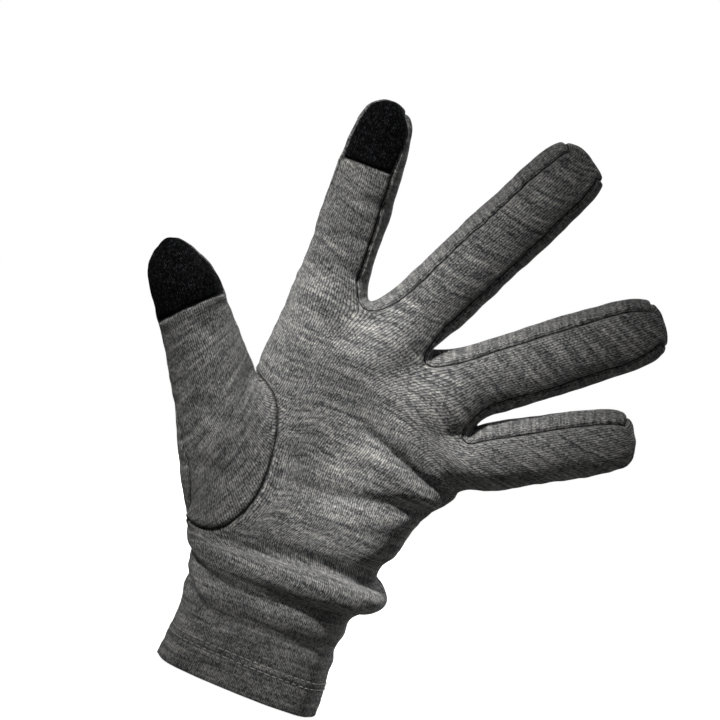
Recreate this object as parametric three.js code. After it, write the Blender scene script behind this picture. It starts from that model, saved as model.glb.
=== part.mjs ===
// Left-hand glove liner in fine jersey, as it stands on a hand. The palm faces -Y, the fingers
// point up +Z and the thumb is on the -X side. The origin is the centre of the cuff's mouth.
import * as THREE from "three";

// Driving dimensions, mm
const cuffLength = 46;       // hem to the foot of the thumb seam
const cuffWidth = 60;
const cuffDepth = 46;
const palmLength = 90;       // foot of the thumb seam to the crotch beside the index finger
const handWidth = 84;
const palmDepth = 28;
const fingerWidth = 25;
const fingerDepth = 21;
const indexLength = 73;
const middleLength = 89;
const ringLength = 78;
const littleLength = 60;
const thumbLength = 66;
const thumbWidth = 23.5;
const thumbDepth = 20;
const wall = 1.2;            // doubled jersey as sewn
const seamGap = 0.3;         // between two sewn panels

const greyJersey = { color: "#737473", roughness: 0.95, metalness: 0 };
const blackJersey = { color: "#131315", roughness: 0.85, metalness: 0 };

// Rings round the cuff: x in shares of cuffWidth, z of cuffLength, front and back of cuffDepth
const cuffRows = [
  { leftX: -0.5, leftZ: 0, middleZ: 0, rightX: 0.483, rightZ: 0, front: 0.5, back: 0.5 },
  { leftX: -0.485, leftZ: 0.24, middleZ: 0.25, rightX: 0.467, rightZ: 0.26, front: 0.49, back: 0.49 },
  { leftX: -0.49, leftZ: 0.48, middleZ: 0.5, rightX: 0.455, rightZ: 0.53, front: 0.49, back: 0.49 },
  { leftX: -0.535, leftZ: 0.71, middleZ: 0.74, rightX: 0.463, rightZ: 0.77, front: 0.49, back: 0.49 },
  { leftX: -0.57, leftZ: 0.82, middleZ: 0.85, rightX: 0.56, rightZ: 0.865, front: 0.52, back: 0.5 },
  { leftX: -0.61, leftZ: 0.92, middleZ: 0.97, rightX: 0.612, rightZ: 1.02, front: 0.52, back: 0.5 },
];

// Rings round the hand: x in shares of handWidth, z of palmLength above the cuff, front and back
// of palmDepth. The first four hold the thumb's hole.
const palmRows = [
  { leftX: -0.462, leftZ: 0.017, middleZ: 0.061, rightX: 0.376, rightZ: 0.105, front: 0.74, back: 0.71 },
  { leftX: -0.506, leftZ: 0.178, middleZ: 0.161, rightX: 0.405, rightZ: 0.178, front: 0.7, back: 0.66 },
  { leftX: -0.5, leftZ: 0.378, middleZ: 0.289, rightX: 0.429, rightZ: 0.267, front: 0.64, back: 0.6 },
  { leftX: -0.446, leftZ: 0.656, middleZ: 0.433, rightX: 0.46, rightZ: 0.344, front: 0.6, back: 0.57 },
  { leftX: -0.424, leftZ: 0.756, middleZ: 0.611, rightX: 0.497, rightZ: 0.406, front: 0.57, back: 0.54 },
  { leftX: -0.413, leftZ: 0.861, middleZ: 0.767, rightX: 0.545, rightZ: 0.463, front: 0.54, back: 0.5 },
];

// The thumb's seam over the palm, shares of handWidth and palmLength
const thumbSeam = [
  { row: 0, column: 0, x: -0.44, z: 0.017 },
  { row: 0, column: 1, x: -0.369, z: -0.003 },
  { row: 0, column: 2, x: -0.274, z: 0.039 },
  { row: 1, column: 2, x: -0.218, z: 0.156 },
  { row: 2, column: 2, x: -0.201, z: 0.3 },
  { row: 3, column: 2, x: -0.22, z: 0.45 },
  { row: 3, column: 1, x: -0.286, z: 0.583 },
  { row: 3, column: 0, x: -0.381, z: 0.622 },
];

// The line of the finger roots, left side to right side: x in shares of handWidth, z of
// palmLength, front and back of palmDepth. The roots between two fingers lie deeper.
const rootLine = [
  { x: -0.408, z: 0.961, front: 0, back: 0 },
  { x: -0.369, z: 0.967, front: 0.3, back: 0.28 },
  { x: -0.25, z: 0.994, front: 0.46, back: 0.44 },
  { x: -0.081, z: 1.003, front: 0.29, back: 0.27 },
  { x: 0.077, z: 0.972, front: 0.46, back: 0.44 },
  { x: 0.205, z: 0.89, front: 0.29, back: 0.27 },
  { x: 0.345, z: 0.806, front: 0.45, back: 0.43 },
  { x: 0.468, z: 0.689, front: 0.28, back: 0.26 },
  { x: 0.519, z: 0.6, front: 0.42, back: 0.4 },
  { x: 0.55, z: 0.539, front: 0.27, back: 0.25 },
  { x: 0.563, z: 0.511, front: 0, back: 0 },
];

// The middle of each crotch, shares of handWidth and palmLength
const crotches = [
  { name: "index_middle", x: -0.075, z: 1.058 },
  { name: "middle_ring", x: 0.232, z: 0.978 },
  { name: "ring_little", x: 0.519, z: 0.765 },
];

// Fingers: root in shares of handWidth and palmLength, turn to the right of +Z, lean towards
// the palm side at root and tip, width in shares of fingerWidth, angles in degrees
const fingers = [
  { x: -0.256, z: 1, length: indexLength, turn: -3.3, roll: 0,
    leanRoot: 1, leanTip: 9, width: 0.98, taper: 0.1, blunt: 0.85 },
  { x: 0.085, z: 1.0, length: middleLength, turn: 25, roll: -5,
    leanRoot: 3, leanTip: 13, width: 1.02, taper: -0.02, blunt: 0.5 },
  { x: 0.367, z: 0.857, length: ringLength, turn: 50.5, roll: -4,
    leanRoot: 5, leanTip: 15, width: 1.03, taper: -0.02, blunt: 0.7 },
  { x: 0.533, z: 0.622, length: littleLength, turn: 59.1, roll: -12,
    leanRoot: 5, leanTip: 16, width: 0.94, taper: -0.03, blunt: 0.8 },
];
const fingerRings = [
  { along: 0.13, width: 1.0, depth: 1.0 },
  { along: 0.31, width: 1.0, depth: 1.0 },
  { along: 0.51, width: 1.0, depth: 0.98 },
  { along: 0.675, width: 0.97, depth: 0.94 },
  { along: 0.87, width: 0.86, depth: 0.8 },
  { along: 0.965, width: 0.52, depth: 0.46 },
];
const tipRing = 3;           // the black touch panel starts at this finger ring

// Thumb's axis, root and tip: place in shares of handWidth and palmLength, turn to the left of
// +Z in degrees, out towards the palm side in shares of palmDepth
const thumbAxis = [
  { x: -0.5, z: 0.4, turn: 26 },
  { turn: 48, out: 0.62 },
];

// Thumb's rings in shares of thumbLength, thumbWidth and thumbDepth (front and back of the
// axis), out in shares of palmDepth, angles in degrees. slope is the ring's own, tilt sets its
// end beside the index finger further back, swing turns its front towards the palm, and seam
// is how far its two side seams lie towards the palm side.
const thumbRings = [
  { along: 0, slope: 82, tilt: 8, swing: 25, width: 2.0, front: 0.9, back: 0.63, out: 0.2, seam: 24 },
  { along: 0.118, slope: 75, tilt: 7, swing: 18, width: 1.69, front: 0.78, back: 0.58, out: 0.24, seam: 20 },
  { along: 0.25, slope: 68, tilt: 5, swing: 12, width: 1.44, front: 0.7, back: 0.57, out: 0.28, seam: 16 },
  { along: 0.394, slope: 61, tilt: 3, swing: 6, width: 1.255, front: 0.62, back: 0.55, out: 0.34, seam: 12 },
  { along: 0.52, slope: 53, tilt: 1, swing: 0, width: 1.1, front: 0.55, back: 0.54, out: 0.41, seam: 10 },
  { along: 0.61, slope: 46, tilt: 0, swing: 0, width: 1.04, front: 0.5, back: 0.5, out: 0.47, seam: 9 },
  { along: 0.742, slope: 43, tilt: 0, swing: 0, width: 0.98, front: 0.46, back: 0.46, out: 0.53, seam: 8 },
  { along: 0.86, slope: 42, tilt: 0, swing: 0, width: 0.83, front: 0.37, back: 0.37, out: 0.57, seam: 6 },
  { along: 0.95, slope: 42, tilt: 0, swing: 0, width: 0.52, front: 0.22, back: 0.22, out: 0.6, seam: 4 },
];
const thumbTipRing = 5;      // the thumb's black panel starts at this ring

// Swells and hollows of the hand: places in shares of handWidth and palmLength, depth in
// shares of palmDepth, outwards positive
const swells = [
  { side: "front", x: 0.25, z: 0.2, acrossX: 0.2, acrossZ: 0.28, depth: 0.1 },
  { side: "front", x: 0.02, z: 0.45, acrossX: 0.2, acrossZ: 0.25, depth: -0.12 },
  { side: "front", x: -0.25, z: 0.85, acrossX: 0.13, acrossZ: 0.12, depth: 0.05 },
  { side: "front", x: 0.06, z: 0.84, acrossX: 0.13, acrossZ: 0.12, depth: 0.05 },
  { side: "front", x: 0.29, z: 0.68, acrossX: 0.12, acrossZ: 0.11, depth: 0.04 },
  { side: "back", x: 0, z: 0.75, acrossX: 0.35, acrossZ: 0.25, depth: 0.06 },
];

// Main folds, from one end to the other in shares of handWidth and palmLength, halfWidth and
// depth in shares of palmDepth, outwards positive
const folds = [
  { side: "front", fromX: -0.33, fromZ: -0.05, toX: 0.36, toZ: 0.07, halfWidth: 0.17, depth: -0.11 },
  { side: "front", fromX: -0.3, fromZ: -0.17, toX: 0.36, toZ: -0.06, halfWidth: 0.15, depth: 0.09 },
  { side: "front", fromX: -0.34, fromZ: -0.22, toX: 0.3, toZ: -0.17, halfWidth: 0.14, depth: -0.08 },
  { side: "front", fromX: 0.14, fromZ: 0.34, toX: 0.34, toZ: 0.25, halfWidth: 0.13, depth: -0.08 },
  { side: "back", fromX: -0.38, fromZ: -0.07, toX: 0.36, toZ: 0.04, halfWidth: 0.17, depth: -0.09 },
  { side: "back", fromX: -0.33, fromZ: -0.19, toX: 0.36, toZ: -0.09, halfWidth: 0.15, depth: 0.07 },
];

// Layout of the control net
const frontColumns = 9;
const columnX = [-0.86, -0.66, -0.44, -0.22, 0, 0.22, 0.44, 0.66, 0.86];
const rightMid = frontColumns;
const leftMid = 2 * frontColumns + 1;
const ringSize = 2 * frontColumns + 2;
const thumbRow = cuffRows.length;
const thumbRowTop = thumbRow + 3;
const roundness = 2.6;       // power of the palm's oval
const fitRounds = 8;
const walkSteps = 24;        // steps along a digit's curved axis
const sharpTurn = -0.5;      // cosine at the sharpest corner of a panel's edge
const straightTurn = 0.98;   // cosine above which an edge runs straight on

const points = [];           // where the smooth surface has to pass, mm
const faces = [];            // { corners, panel }

const radians = (degrees) => THREE.MathUtils.degToRad(degrees);
const lerp = THREE.MathUtils.lerp;
const backSlot = (column) => 2 * frontColumns - column;

function addPoint(x, y, z) {
  points.push(new THREE.Vector3(x, y, z));
  return points.length - 1;
}

function addFace(corners, panel) {
  faces.push({ corners, panel });
}

// A row's real sizes, in mm
function sizedRow(row, width, length, depth, floor) {
  return {
    left: row.leftX * width,
    right: row.rightX * width,
    leftZ: floor + row.leftZ * length,
    middleZ: floor + row.middleZ * length,
    rightZ: floor + row.rightZ * length,
    front: row.front * depth,
    back: row.back * depth,
  };
}

function ovalShare(share) {
  return Math.pow(Math.max(0, 1 - Math.pow(Math.abs(share), roundness)), 1 / roundness);
}

// Height of a row at a share from -1 (left side) to 1 (right side)
function rowHeight(row, share) {
  const straight = (row.rightZ - row.leftZ) / 2;
  const bend = (row.rightZ + row.leftZ) / 2 - row.middleZ;
  return row.middleZ + straight * share + bend * share * share;
}

function rowPoint(row, share, side) {
  const middle = (row.left + row.right) / 2;
  const half = (row.right - row.left) / 2;
  const depth = side === "front" ? -row.front : row.back;
  return addPoint(middle + half * share, depth * ovalShare(share), rowHeight(row, share));
}

function bodyRing(row, index) {
  const ring = new Array(ringSize).fill(null);
  const seamPoints = thumbSeam.filter((point) => point.row === index - thumbRow);
  const insideHole = index > thumbRow && index < thumbRowTop;
  const half = (row.right - row.left) / 2;
  const middle = (row.left + row.right) / 2;
  for (const seam of seamPoints) {
    const x = seam.x * handWidth;
    const y = -row.front * ovalShare((x - middle) / half);
    ring[seam.column] = addPoint(x, y, cuffLength + seam.z * palmLength);
  }
  const seamColumn = Math.max(-1, ...seamPoints.map((point) => point.column));
  const seamShare = seamColumn < 0 ? 0 : (points[ring[seamColumn]].x - middle) / half;
  for (let column = seamColumn + 1; column < frontColumns; column += 1) {
    const seamed = seamColumn < 0 ? columnX[column]
      : lerp(seamShare, 1, (columnX[column] - columnX[seamColumn]) / (1 - columnX[seamColumn]));
    ring[column] = rowPoint(row, seamed, "front");
  }
  for (let column = 0; column < frontColumns; column += 1) {
    ring[backSlot(column)] = rowPoint(row, columnX[column], "back");
  }
  ring[rightMid] = rowPoint(row, 1, "front");
  ring[leftMid] = insideHole ? null : rowPoint(row, -1, "front");
  return ring;
}

function rootRing() {
  const ring = new Array(ringSize).fill(null);
  const height = (spot) => cuffLength + spot.z * palmLength;
  rootLine.forEach((spot, index) => {
    const column = index - 1;
    const x = spot.x * handWidth;
    if (column === -1) {
      ring[leftMid] = addPoint(x, 0, height(spot));
    } else if (column === frontColumns) {
      ring[rightMid] = addPoint(x, 0, height(spot));
    } else {
      ring[column] = addPoint(x, -spot.front * palmDepth, height(spot));
      ring[backSlot(column)] = addPoint(x, spot.back * palmDepth, height(spot));
    }
  });
  return ring;
}

const bodySlotPanel = (slot) => (slot < rightMid || slot === leftMid ? "palm_panel" : "back_panel");

function inThumbHole(rowIndex, slot) {
  const openSlots = [0, 1, backSlot(0), leftMid];
  return rowIndex >= thumbRow && rowIndex < thumbRowTop && openSlots.includes(slot);
}

function joinRings(lower, upper, panelOf) {
  for (let slot = 0; slot < lower.length; slot += 1) {
    const next = (slot + 1) % lower.length;
    const panel = panelOf(slot);
    if (panel) {
      addFace([lower[slot], lower[next], upper[next], upper[slot]], panel);
    }
  }
}

// Closes a ring with two rows of faces that meet on a line of middle points
function closeTip(ring, middles, frontPanel, backPanel) {
  const count = ring.length / 2 - 1;
  const front = ring.slice(0, count);
  const back = ring.slice(count + 1, 2 * count + 1).reverse();
  const line = [ring[ring.length - 1], ...middles, ring[count]];
  for (let i = 0; i + 1 < count; i += 1) {
    addFace([front[i], front[i + 1], line[i + 1], line[i]], frontPanel);
    addFace([line[i], line[i + 1], back[i + 1], back[i]], backPanel);
  }
}

// Points of an oval ring: front from left to right, right side, back, left side. Its two side
// points may lie towards the front, by the angle seam.
function ovalRing(count, centre, frame, size, { roll = 0, seam = 0 }) {
  const ring = [];
  const half = count / 2;
  for (let slot = 1; slot <= count; slot += 1) {
    const angle = slot <= half ? lerp(Math.PI - seam, seam, slot / half)
      : lerp(seam, -Math.PI - seam, (slot - half) / half);
    const across = Math.cos(angle + roll) * size.halfWidth;
    const share = Math.sin(angle + roll);
    const point = centre.clone().addScaledVector(frame.side, across);
    if (share > 0) {
      point.addScaledVector(frame.front, share * size.front);
    } else {
      point.addScaledVector(frame.back, -share * size.back);
    }
    ring.push(addPoint(point.x, point.y, point.z));
  }
  return ring;
}

// Frame of a digit: its direction, its right side and its palm side
function digitFrame(turn, lean) {
  const flat = new THREE.Vector3(Math.sin(turn), 0, Math.cos(turn));
  const along = flat.clone().multiplyScalar(Math.cos(lean)).add(new THREE.Vector3(0, -Math.sin(lean), 0));
  const side = new THREE.Vector3(Math.cos(turn), 0, -Math.sin(turn));
  const front = new THREE.Vector3().crossVectors(side, along).normalize();
  return { along, side, front, back: front.clone().negate() };
}

function walkDigit(start, length, frameAt, share) {
  const place = start.clone();
  for (let i = 0; i < walkSteps; i += 1) {
    place.addScaledVector(frameAt((share * (i + 0.5)) / walkSteps).along, (length * share) / walkSteps);
  }
  return place;
}

function fingerPanel(number, slot, black) {
  if (slot === 0 || slot === 1 || (number === 0 && slot === 7)) {
    return black ? "index_tip" : "palm_panel";
  }
  if (number === fingers.length - 1 && slot === 2) {
    return "palm_panel";
  }
  if (slot === 2 || (slot === 3 && number < fingers.length - 1)) {
    return `fourchette_${crotches[number].name}`;
  }
  if (slot === 7 || (slot === 6 && number > 0)) {
    return `fourchette_${crotches[number - 1].name}`;
  }
  return "back_panel";
}

function addFinger(number, root, crotchPoints) {
  const finger = fingers[number];
  const start = new THREE.Vector3(finger.x * handWidth, 0, cuffLength + finger.z * palmLength);
  const frameAt = (share) =>
    digitFrame(radians(finger.turn), radians(lerp(finger.leanRoot, finger.leanTip, share)));
  const column = 2 * number;
  let ring = [
    root[column], root[column + 1], root[column + 2],
    number < crotchPoints.length ? crotchPoints[number] : root[rightMid],
    root[backSlot(column + 2)], root[backSlot(column + 1)], root[backSlot(column)],
    number > 0 ? crotchPoints[number - 1] : root[leftMid],
  ];
  fingerRings.forEach((row, index) => {
    const centre = walkDigit(start, finger.length, frameAt, row.along);
    const bluntWidth = Math.pow(row.width, finger.blunt);
    const width = fingerWidth * finger.width * bluntWidth * (1 - finger.taper * row.along);
    const depth = fingerDepth * finger.width * row.depth;
    const turned = { roll: radians(finger.roll) };
    const size = { halfWidth: width / 2, front: depth / 2, back: depth / 2 };
    const next = ovalRing(ring.length, centre, frameAt(row.along), size, turned);
    const black = number === 0 && index > tipRing;
    joinRings(ring, next, (slot) => fingerPanel(number, slot, black));
    ring = next;
  });
  const tip = walkDigit(start, finger.length, frameAt, 1);
  const middle = addPoint(tip.x, tip.y, tip.z);
  closeTip(ring, [middle], number === 0 ? "index_tip" : "palm_panel", "back_panel");
}

function addThumb(body) {
  const rowA = body[thumbRow];
  const rowD = body[thumbRowTop];
  const inner = body.slice(thumbRow + 1, thumbRowTop);
  let ring = [
    rowA[1], rowA[2], ...inner.map((row) => row[2]), rowD[2], rowD[1],
    rowD[0],
    rowD[leftMid], rowD[backSlot(0)], ...inner.map((row) => row[backSlot(0)]).reverse(),
    rowA[backSlot(0)], rowA[leftMid],
    rowA[0],
  ];
  const [foot, end] = thumbAxis;
  const start = new THREE.Vector3(foot.x * handWidth, 0, cuffLength + foot.z * palmLength);
  const frameAt = (share) => digitFrame(-radians(lerp(foot.turn, end.turn, share)), 0);
  const shiftAt = (row) => new THREE.Vector3(0, -row.out * palmDepth, 0);
  const frontSlots = (slot) => slot < ring.length / 2 - 1 || slot === ring.length - 1;
  thumbRings.forEach((row, index) => {
    const slope = radians(row.slope);
    const tilt = radians(row.tilt);
    const side = new THREE.Vector3(Math.cos(slope), Math.tan(tilt), Math.sin(slope)).normalize();
    const swing = radians(row.swing);
    const front = new THREE.Vector3(Math.sin(swing), -Math.cos(swing), 0);
    const frame = { side, front, back: new THREE.Vector3(0, 1, 0) };
    const centre = walkDigit(start, thumbLength, frameAt, row.along).add(shiftAt(row));
    const size = {
      halfWidth: (row.width * thumbWidth) / 2,
      front: row.front * thumbDepth,
      back: row.back * thumbDepth,
    };
    const next = ovalRing(ring.length, centre, frame, size, { seam: radians(row.seam) });
    const frontPanel = index > thumbTipRing ? "thumb_tip" : "thumb_front";
    joinRings(ring, next, (slot) => (frontSlots(slot) ? frontPanel : "thumb_back"));
    ring = next;
  });
  const count = ring.length / 2 - 1;
  const tip = walkDigit(start, thumbLength, frameAt, 1).add(shiftAt(end));
  const left = points[ring[ring.length - 1]];
  const right = points[ring[count]];
  const rise = tip.clone().sub(left.clone().add(right).multiplyScalar(0.5));
  const middles = [];
  for (let i = 1; i + 1 < count; i += 1) {
    const share = i / (count - 1);
    const place = left.clone().lerp(right, share).addScaledVector(rise, Math.sin(Math.PI * share));
    middles.push(addPoint(place.x, place.y, place.z));
  }
  closeTip(ring, middles, "thumb_tip", "thumb_back");
}

function buildNet() {
  const rows = [
    ...cuffRows.map((row) => sizedRow(row, cuffWidth, cuffLength, cuffDepth, 0)),
    ...palmRows.map((row) => sizedRow(row, handWidth, palmLength, palmDepth, cuffLength)),
  ];
  const body = rows.map(bodyRing);
  const root = rootRing();
  [...body, root].slice(1).forEach((upper, index) => {
    joinRings(body[index], upper, (slot) => (inThumbHole(index, slot) ? null : bodySlotPanel(slot)));
  });
  const crotchPoints = crotches.map((spot) =>
    addPoint(spot.x * handWidth, 0, cuffLength + spot.z * palmLength));
  fingers.forEach((finger, number) => addFinger(number, root, crotchPoints));
  addThumb(body);
}

// Neighbours that the smoothing rules need, for a mesh of four-sided faces
function linkMesh(places, quads) {
  const edges = new Map();
  const around = places.map(() => ({ near: new Set(), far: [], quads: [], rim: [] }));
  quads.forEach((quad, number) => {
    for (let i = 0; i < 4; i += 1) {
      const a = quad.corners[i];
      const b = quad.corners[(i + 1) % 4];
      const key = a < b ? `${a},${b}` : `${b},${a}`;
      if (!edges.has(key)) {
        edges.set(key, { a, b, quads: [] });
      }
      edges.get(key).quads.push(number);
      around[a].near.add(b);
      around[b].near.add(a);
      around[a].far.push(quad.corners[(i + 2) % 4]);
      around[a].quads.push(number);
    }
  });
  for (const edge of edges.values()) {
    if (edge.quads.length === 1) {
      around[edge.a].rim.push(edge.b);
      around[edge.b].rim.push(edge.a);
    }
  }
  return { edges, around };
}

function sumOf(places, indices) {
  const total = new THREE.Vector3();
  for (const index of indices) {
    total.add(places[index]);
  }
  return total;
}

// Where each vertex ends up when a Catmull-Clark surface is refined for ever
function limitPlaces(places, quads) {
  const { around } = linkMesh(places, quads);
  return places.map((place, index) => {
    const { near, far, rim } = around[index];
    if (rim.length === 2) {
      return place.clone().multiplyScalar(4).add(sumOf(places, rim)).divideScalar(6);
    }
    const valence = near.size;
    return place.clone().multiplyScalar(valence * valence)
      .addScaledVector(sumOf(places, near), 4)
      .add(sumOf(places, far))
      .divideScalar(valence * (valence + 5));
  });
}

// One Catmull-Clark step
function refine(places, quads) {
  const { edges, around } = linkMesh(places, quads);
  const centres = quads.map((quad) => sumOf(places, quad.corners).divideScalar(4));
  const moved = places.map((place, index) => {
    const { near, quads: touching, rim } = around[index];
    if (rim.length === 2) {
      return place.clone().multiplyScalar(6).add(sumOf(places, rim)).divideScalar(8);
    }
    const valence = near.size;
    const faceMean = sumOf(centres, touching).divideScalar(valence);
    const nearMean = sumOf(places, near).divideScalar(valence).add(place).divideScalar(2);
    return faceMean.addScaledVector(nearMean, 2).addScaledVector(place, valence - 3).divideScalar(valence);
  });
  const result = [...moved, ...centres];
  const edgeIndex = new Map();
  for (const [key, edge] of edges) {
    const middle = places[edge.a].clone().add(places[edge.b]);
    if (edge.quads.length === 2) {
      middle.add(centres[edge.quads[0]]).add(centres[edge.quads[1]]).divideScalar(4);
    } else {
      middle.divideScalar(2);
    }
    edgeIndex.set(key, result.length);
    result.push(middle);
  }
  const edgeBetween = (a, b) => edgeIndex.get(a < b ? `${a},${b}` : `${b},${a}`);
  const finer = [];
  quads.forEach((quad, number) => {
    const centre = places.length + number;
    for (let i = 0; i < 4; i += 1) {
      const a = quad.corners[i];
      const before = quad.corners[(i + 3) % 4];
      const after = quad.corners[(i + 1) % 4];
      finer.push({ corners: [a, edgeBetween(a, after), centre, edgeBetween(before, a)], panel: quad.panel });
    }
  });
  return { places: result, quads: finer };
}

// Moves the net until the smooth surface passes through the points asked for
function fitNet() {
  let net = points.map((point) => point.clone());
  for (let round = 0; round < fitRounds; round += 1) {
    const reached = limitPlaces(net, faces);
    net = net.map((place, index) => place.clone().add(points[index]).sub(reached[index]));
  }
  return net;
}

function vertexNormals(places, quads) {
  const normals = places.map(() => new THREE.Vector3());
  for (const { corners } of quads) {
    const [a, b, c, d] = corners.map((index) => places[index]);
    const normal = new THREE.Vector3().crossVectors(c.clone().sub(a), d.clone().sub(b));
    for (const index of corners) {
      normals[index].add(normal);
    }
  }
  return normals.map((normal) => normal.normalize());
}

// Height of the swells and folds at a point of the smooth surface
function reliefAt(place, normal) {
  const facing = { front: Math.max(0, -normal.y), back: Math.max(0, normal.y) };
  let height = 0;
  for (const swell of swells) {
    const x = (place.x - swell.x * handWidth) / (swell.acrossX * handWidth);
    const z = (place.z - cuffLength - swell.z * palmLength) / (swell.acrossZ * palmLength);
    height += facing[swell.side] * swell.depth * palmDepth * Math.exp(-(x * x + z * z));
  }
  for (const fold of folds) {
    const from = new THREE.Vector2(fold.fromX * handWidth, cuffLength + fold.fromZ * palmLength);
    const to = new THREE.Vector2(fold.toX * handWidth, cuffLength + fold.toZ * palmLength);
    const line = to.clone().sub(from);
    const offset = new THREE.Vector2(place.x, place.z).sub(from);
    const share = THREE.MathUtils.clamp(offset.dot(line) / line.lengthSq(), 0, 1);
    const distance = offset.sub(line.multiplyScalar(share)).length() / (fold.halfWidth * palmDepth);
    height += facing[fold.side] * fold.depth * palmDepth * Math.exp(-distance * distance);
  }
  return height;
}

// Pulls the edge of a panel in by half the seam gap, where it meets another panel
function insetEdge(panelQuads, places, normals, sharedEdges) {
  const ends = new Map();
  const used = new Set();
  for (const { corners } of panelQuads) {
    for (let i = 0; i < 4; i += 1) {
      used.add(`${corners[i]},${corners[(i + 1) % 4]}`);
    }
  }
  for (const key of used) {
    const [a, b] = key.split(",").map(Number);
    if (!used.has(`${b},${a}`)) {
      const meets = sharedEdges.get(a < b ? `${a},${b}` : `${b},${a}`).quads.length === 2;
      const pull = meets ? seamGap / 2 : 0;
      ends.set(a, { ...ends.get(a), after: b, pullAfter: pull });
      ends.set(b, { ...ends.get(b), before: a, pullBefore: pull });
    }
  }
  const inset = new Map();
  for (const [index, { before, after, pullBefore, pullAfter }] of ends) {
    const normal = normals[index];
    const inward = (from, to) => new THREE.Vector3()
      .crossVectors(normal, places[to].clone().sub(places[from])).normalize();
    const first = inward(before, index);
    const second = inward(index, after);
    const cosine = THREE.MathUtils.clamp(first.dot(second), sharpTurn, 1);
    const shift = new THREE.Vector3();
    if (cosine > straightTurn) {
      shift.addScaledVector(first, (pullBefore + pullAfter) / 2);
    } else {
      const base = 1 - cosine * cosine;
      shift.addScaledVector(first, (pullBefore - cosine * pullAfter) / base);
      shift.addScaledVector(second, (pullAfter - cosine * pullBefore) / base);
    }
    inset.set(index, { place: places[index].clone().add(shift), after });
  }
  return inset;
}

// A panel as a closed wall: its outer face, its inner face and its cut edges
function panelGeometry(panelQuads, places, normals, sharedEdges) {
  const edge = insetEdge(panelQuads, places, normals, sharedEdges);
  const outer = new Map();
  const positions = [];
  const triangles = [];
  const outerIndex = (index) => {
    if (!outer.has(index)) {
      const place = edge.has(index) ? edge.get(index).place : places[index];
      const inner = place.clone().addScaledVector(normals[index], -wall);
      outer.set(index, positions.length / 3);
      positions.push(place.x, place.y, place.z, inner.x, inner.y, inner.z);
    }
    return outer.get(index);
  };
  for (const { corners } of panelQuads) {
    const [a, b, c, d] = corners.map(outerIndex);
    triangles.push(a, b, c, a, c, d);
    triangles.push(a + 1, c + 1, b + 1, a + 1, d + 1, c + 1);
  }
  for (const [index, { after }] of edge) {
    const a = outerIndex(index);
    const b = outerIndex(after);
    // both panels of a seam split the cut edge along the same diagonal, so the gap stays open
    if (index < after) {
      triangles.push(a, a + 1, b + 1, a, b + 1, b);
    } else {
      triangles.push(a, a + 1, b, a + 1, b + 1, b);
    }
  }
  const geometry = new THREE.BufferGeometry();
  geometry.setAttribute("position", new THREE.Float32BufferAttribute(positions, 3));
  geometry.setIndex(triangles);
  geometry.computeVertexNormals();
  return geometry;
}

buildNet();
const refined = refine(fitNet(), faces);
const smooth = limitPlaces(refined.places, refined.quads);
const smoothNormals = vertexNormals(smooth, refined.quads);
const surface = smooth.map((place, index) =>
  place.clone().addScaledVector(smoothNormals[index], reliefAt(place, smoothNormals[index])));
const surfaceNormals = vertexNormals(surface, refined.quads);
const sharedEdges = linkMesh(surface, refined.quads).edges;

const glove = new THREE.Group();
for (const panel of new Set(refined.quads.map((quad) => quad.panel))) {
  const panelQuads = refined.quads.filter((quad) => quad.panel === panel);
  const geometry = panelGeometry(panelQuads, surface, surfaceNormals, sharedEdges);
  const finish = panel.endsWith("_tip") ? blackJersey : greyJersey;
  const mesh = new THREE.Mesh(geometry, new THREE.MeshStandardMaterial(finish));
  mesh.name = panel;
  glove.add(mesh);
}

export default glove;
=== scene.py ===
# Left-hand glove liner in heather jersey: cloth panels, seams and stitches around the CAD frame
import math
import bpy
import numpy as np
from mathutils import Matrix, Vector
from mathutils.kdtree import KDTree


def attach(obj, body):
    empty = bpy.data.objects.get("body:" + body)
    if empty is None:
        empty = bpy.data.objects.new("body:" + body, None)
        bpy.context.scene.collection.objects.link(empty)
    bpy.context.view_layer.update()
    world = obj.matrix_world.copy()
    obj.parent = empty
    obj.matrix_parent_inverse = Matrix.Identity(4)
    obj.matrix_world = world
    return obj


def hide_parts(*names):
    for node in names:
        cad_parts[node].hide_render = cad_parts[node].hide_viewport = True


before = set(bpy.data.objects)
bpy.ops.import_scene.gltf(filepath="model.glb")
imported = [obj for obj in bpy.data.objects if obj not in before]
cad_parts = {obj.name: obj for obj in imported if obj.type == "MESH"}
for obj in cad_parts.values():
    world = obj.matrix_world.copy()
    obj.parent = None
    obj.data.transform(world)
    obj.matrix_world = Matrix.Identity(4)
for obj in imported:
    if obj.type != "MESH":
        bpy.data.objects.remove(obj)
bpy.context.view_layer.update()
print("frame loaded:", ", ".join(sorted(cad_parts)))

mm = 0.001
columns = 9                  # points across the palm side of a ring
columnEdge = 0.86            # the outer columns, as a share of the half width
columnStep = 0.22
columnPitch = 9.2            # mm of cloth between two columns
rightMid = columns
leftMid = 2 * columns + 1
ringSize = 2 * columns + 2


# Sizes of the glove in mm, the same as the frame's
glove = {
    "cuffLength": 46, "cuffWidth": 60, "cuffDepth": 46,
    "palmLength": 90, "handWidth": 84, "palmDepth": 28,
    "fingerWidth": 25, "fingerDepth": 21,
    "thumbLength": 66, "thumbWidth": 23.5, "thumbDepth": 20,
    "roundness": 2.6,        # power of the palm's oval
    "fineSteps": 4,          # times that the net is refined
}

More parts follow.
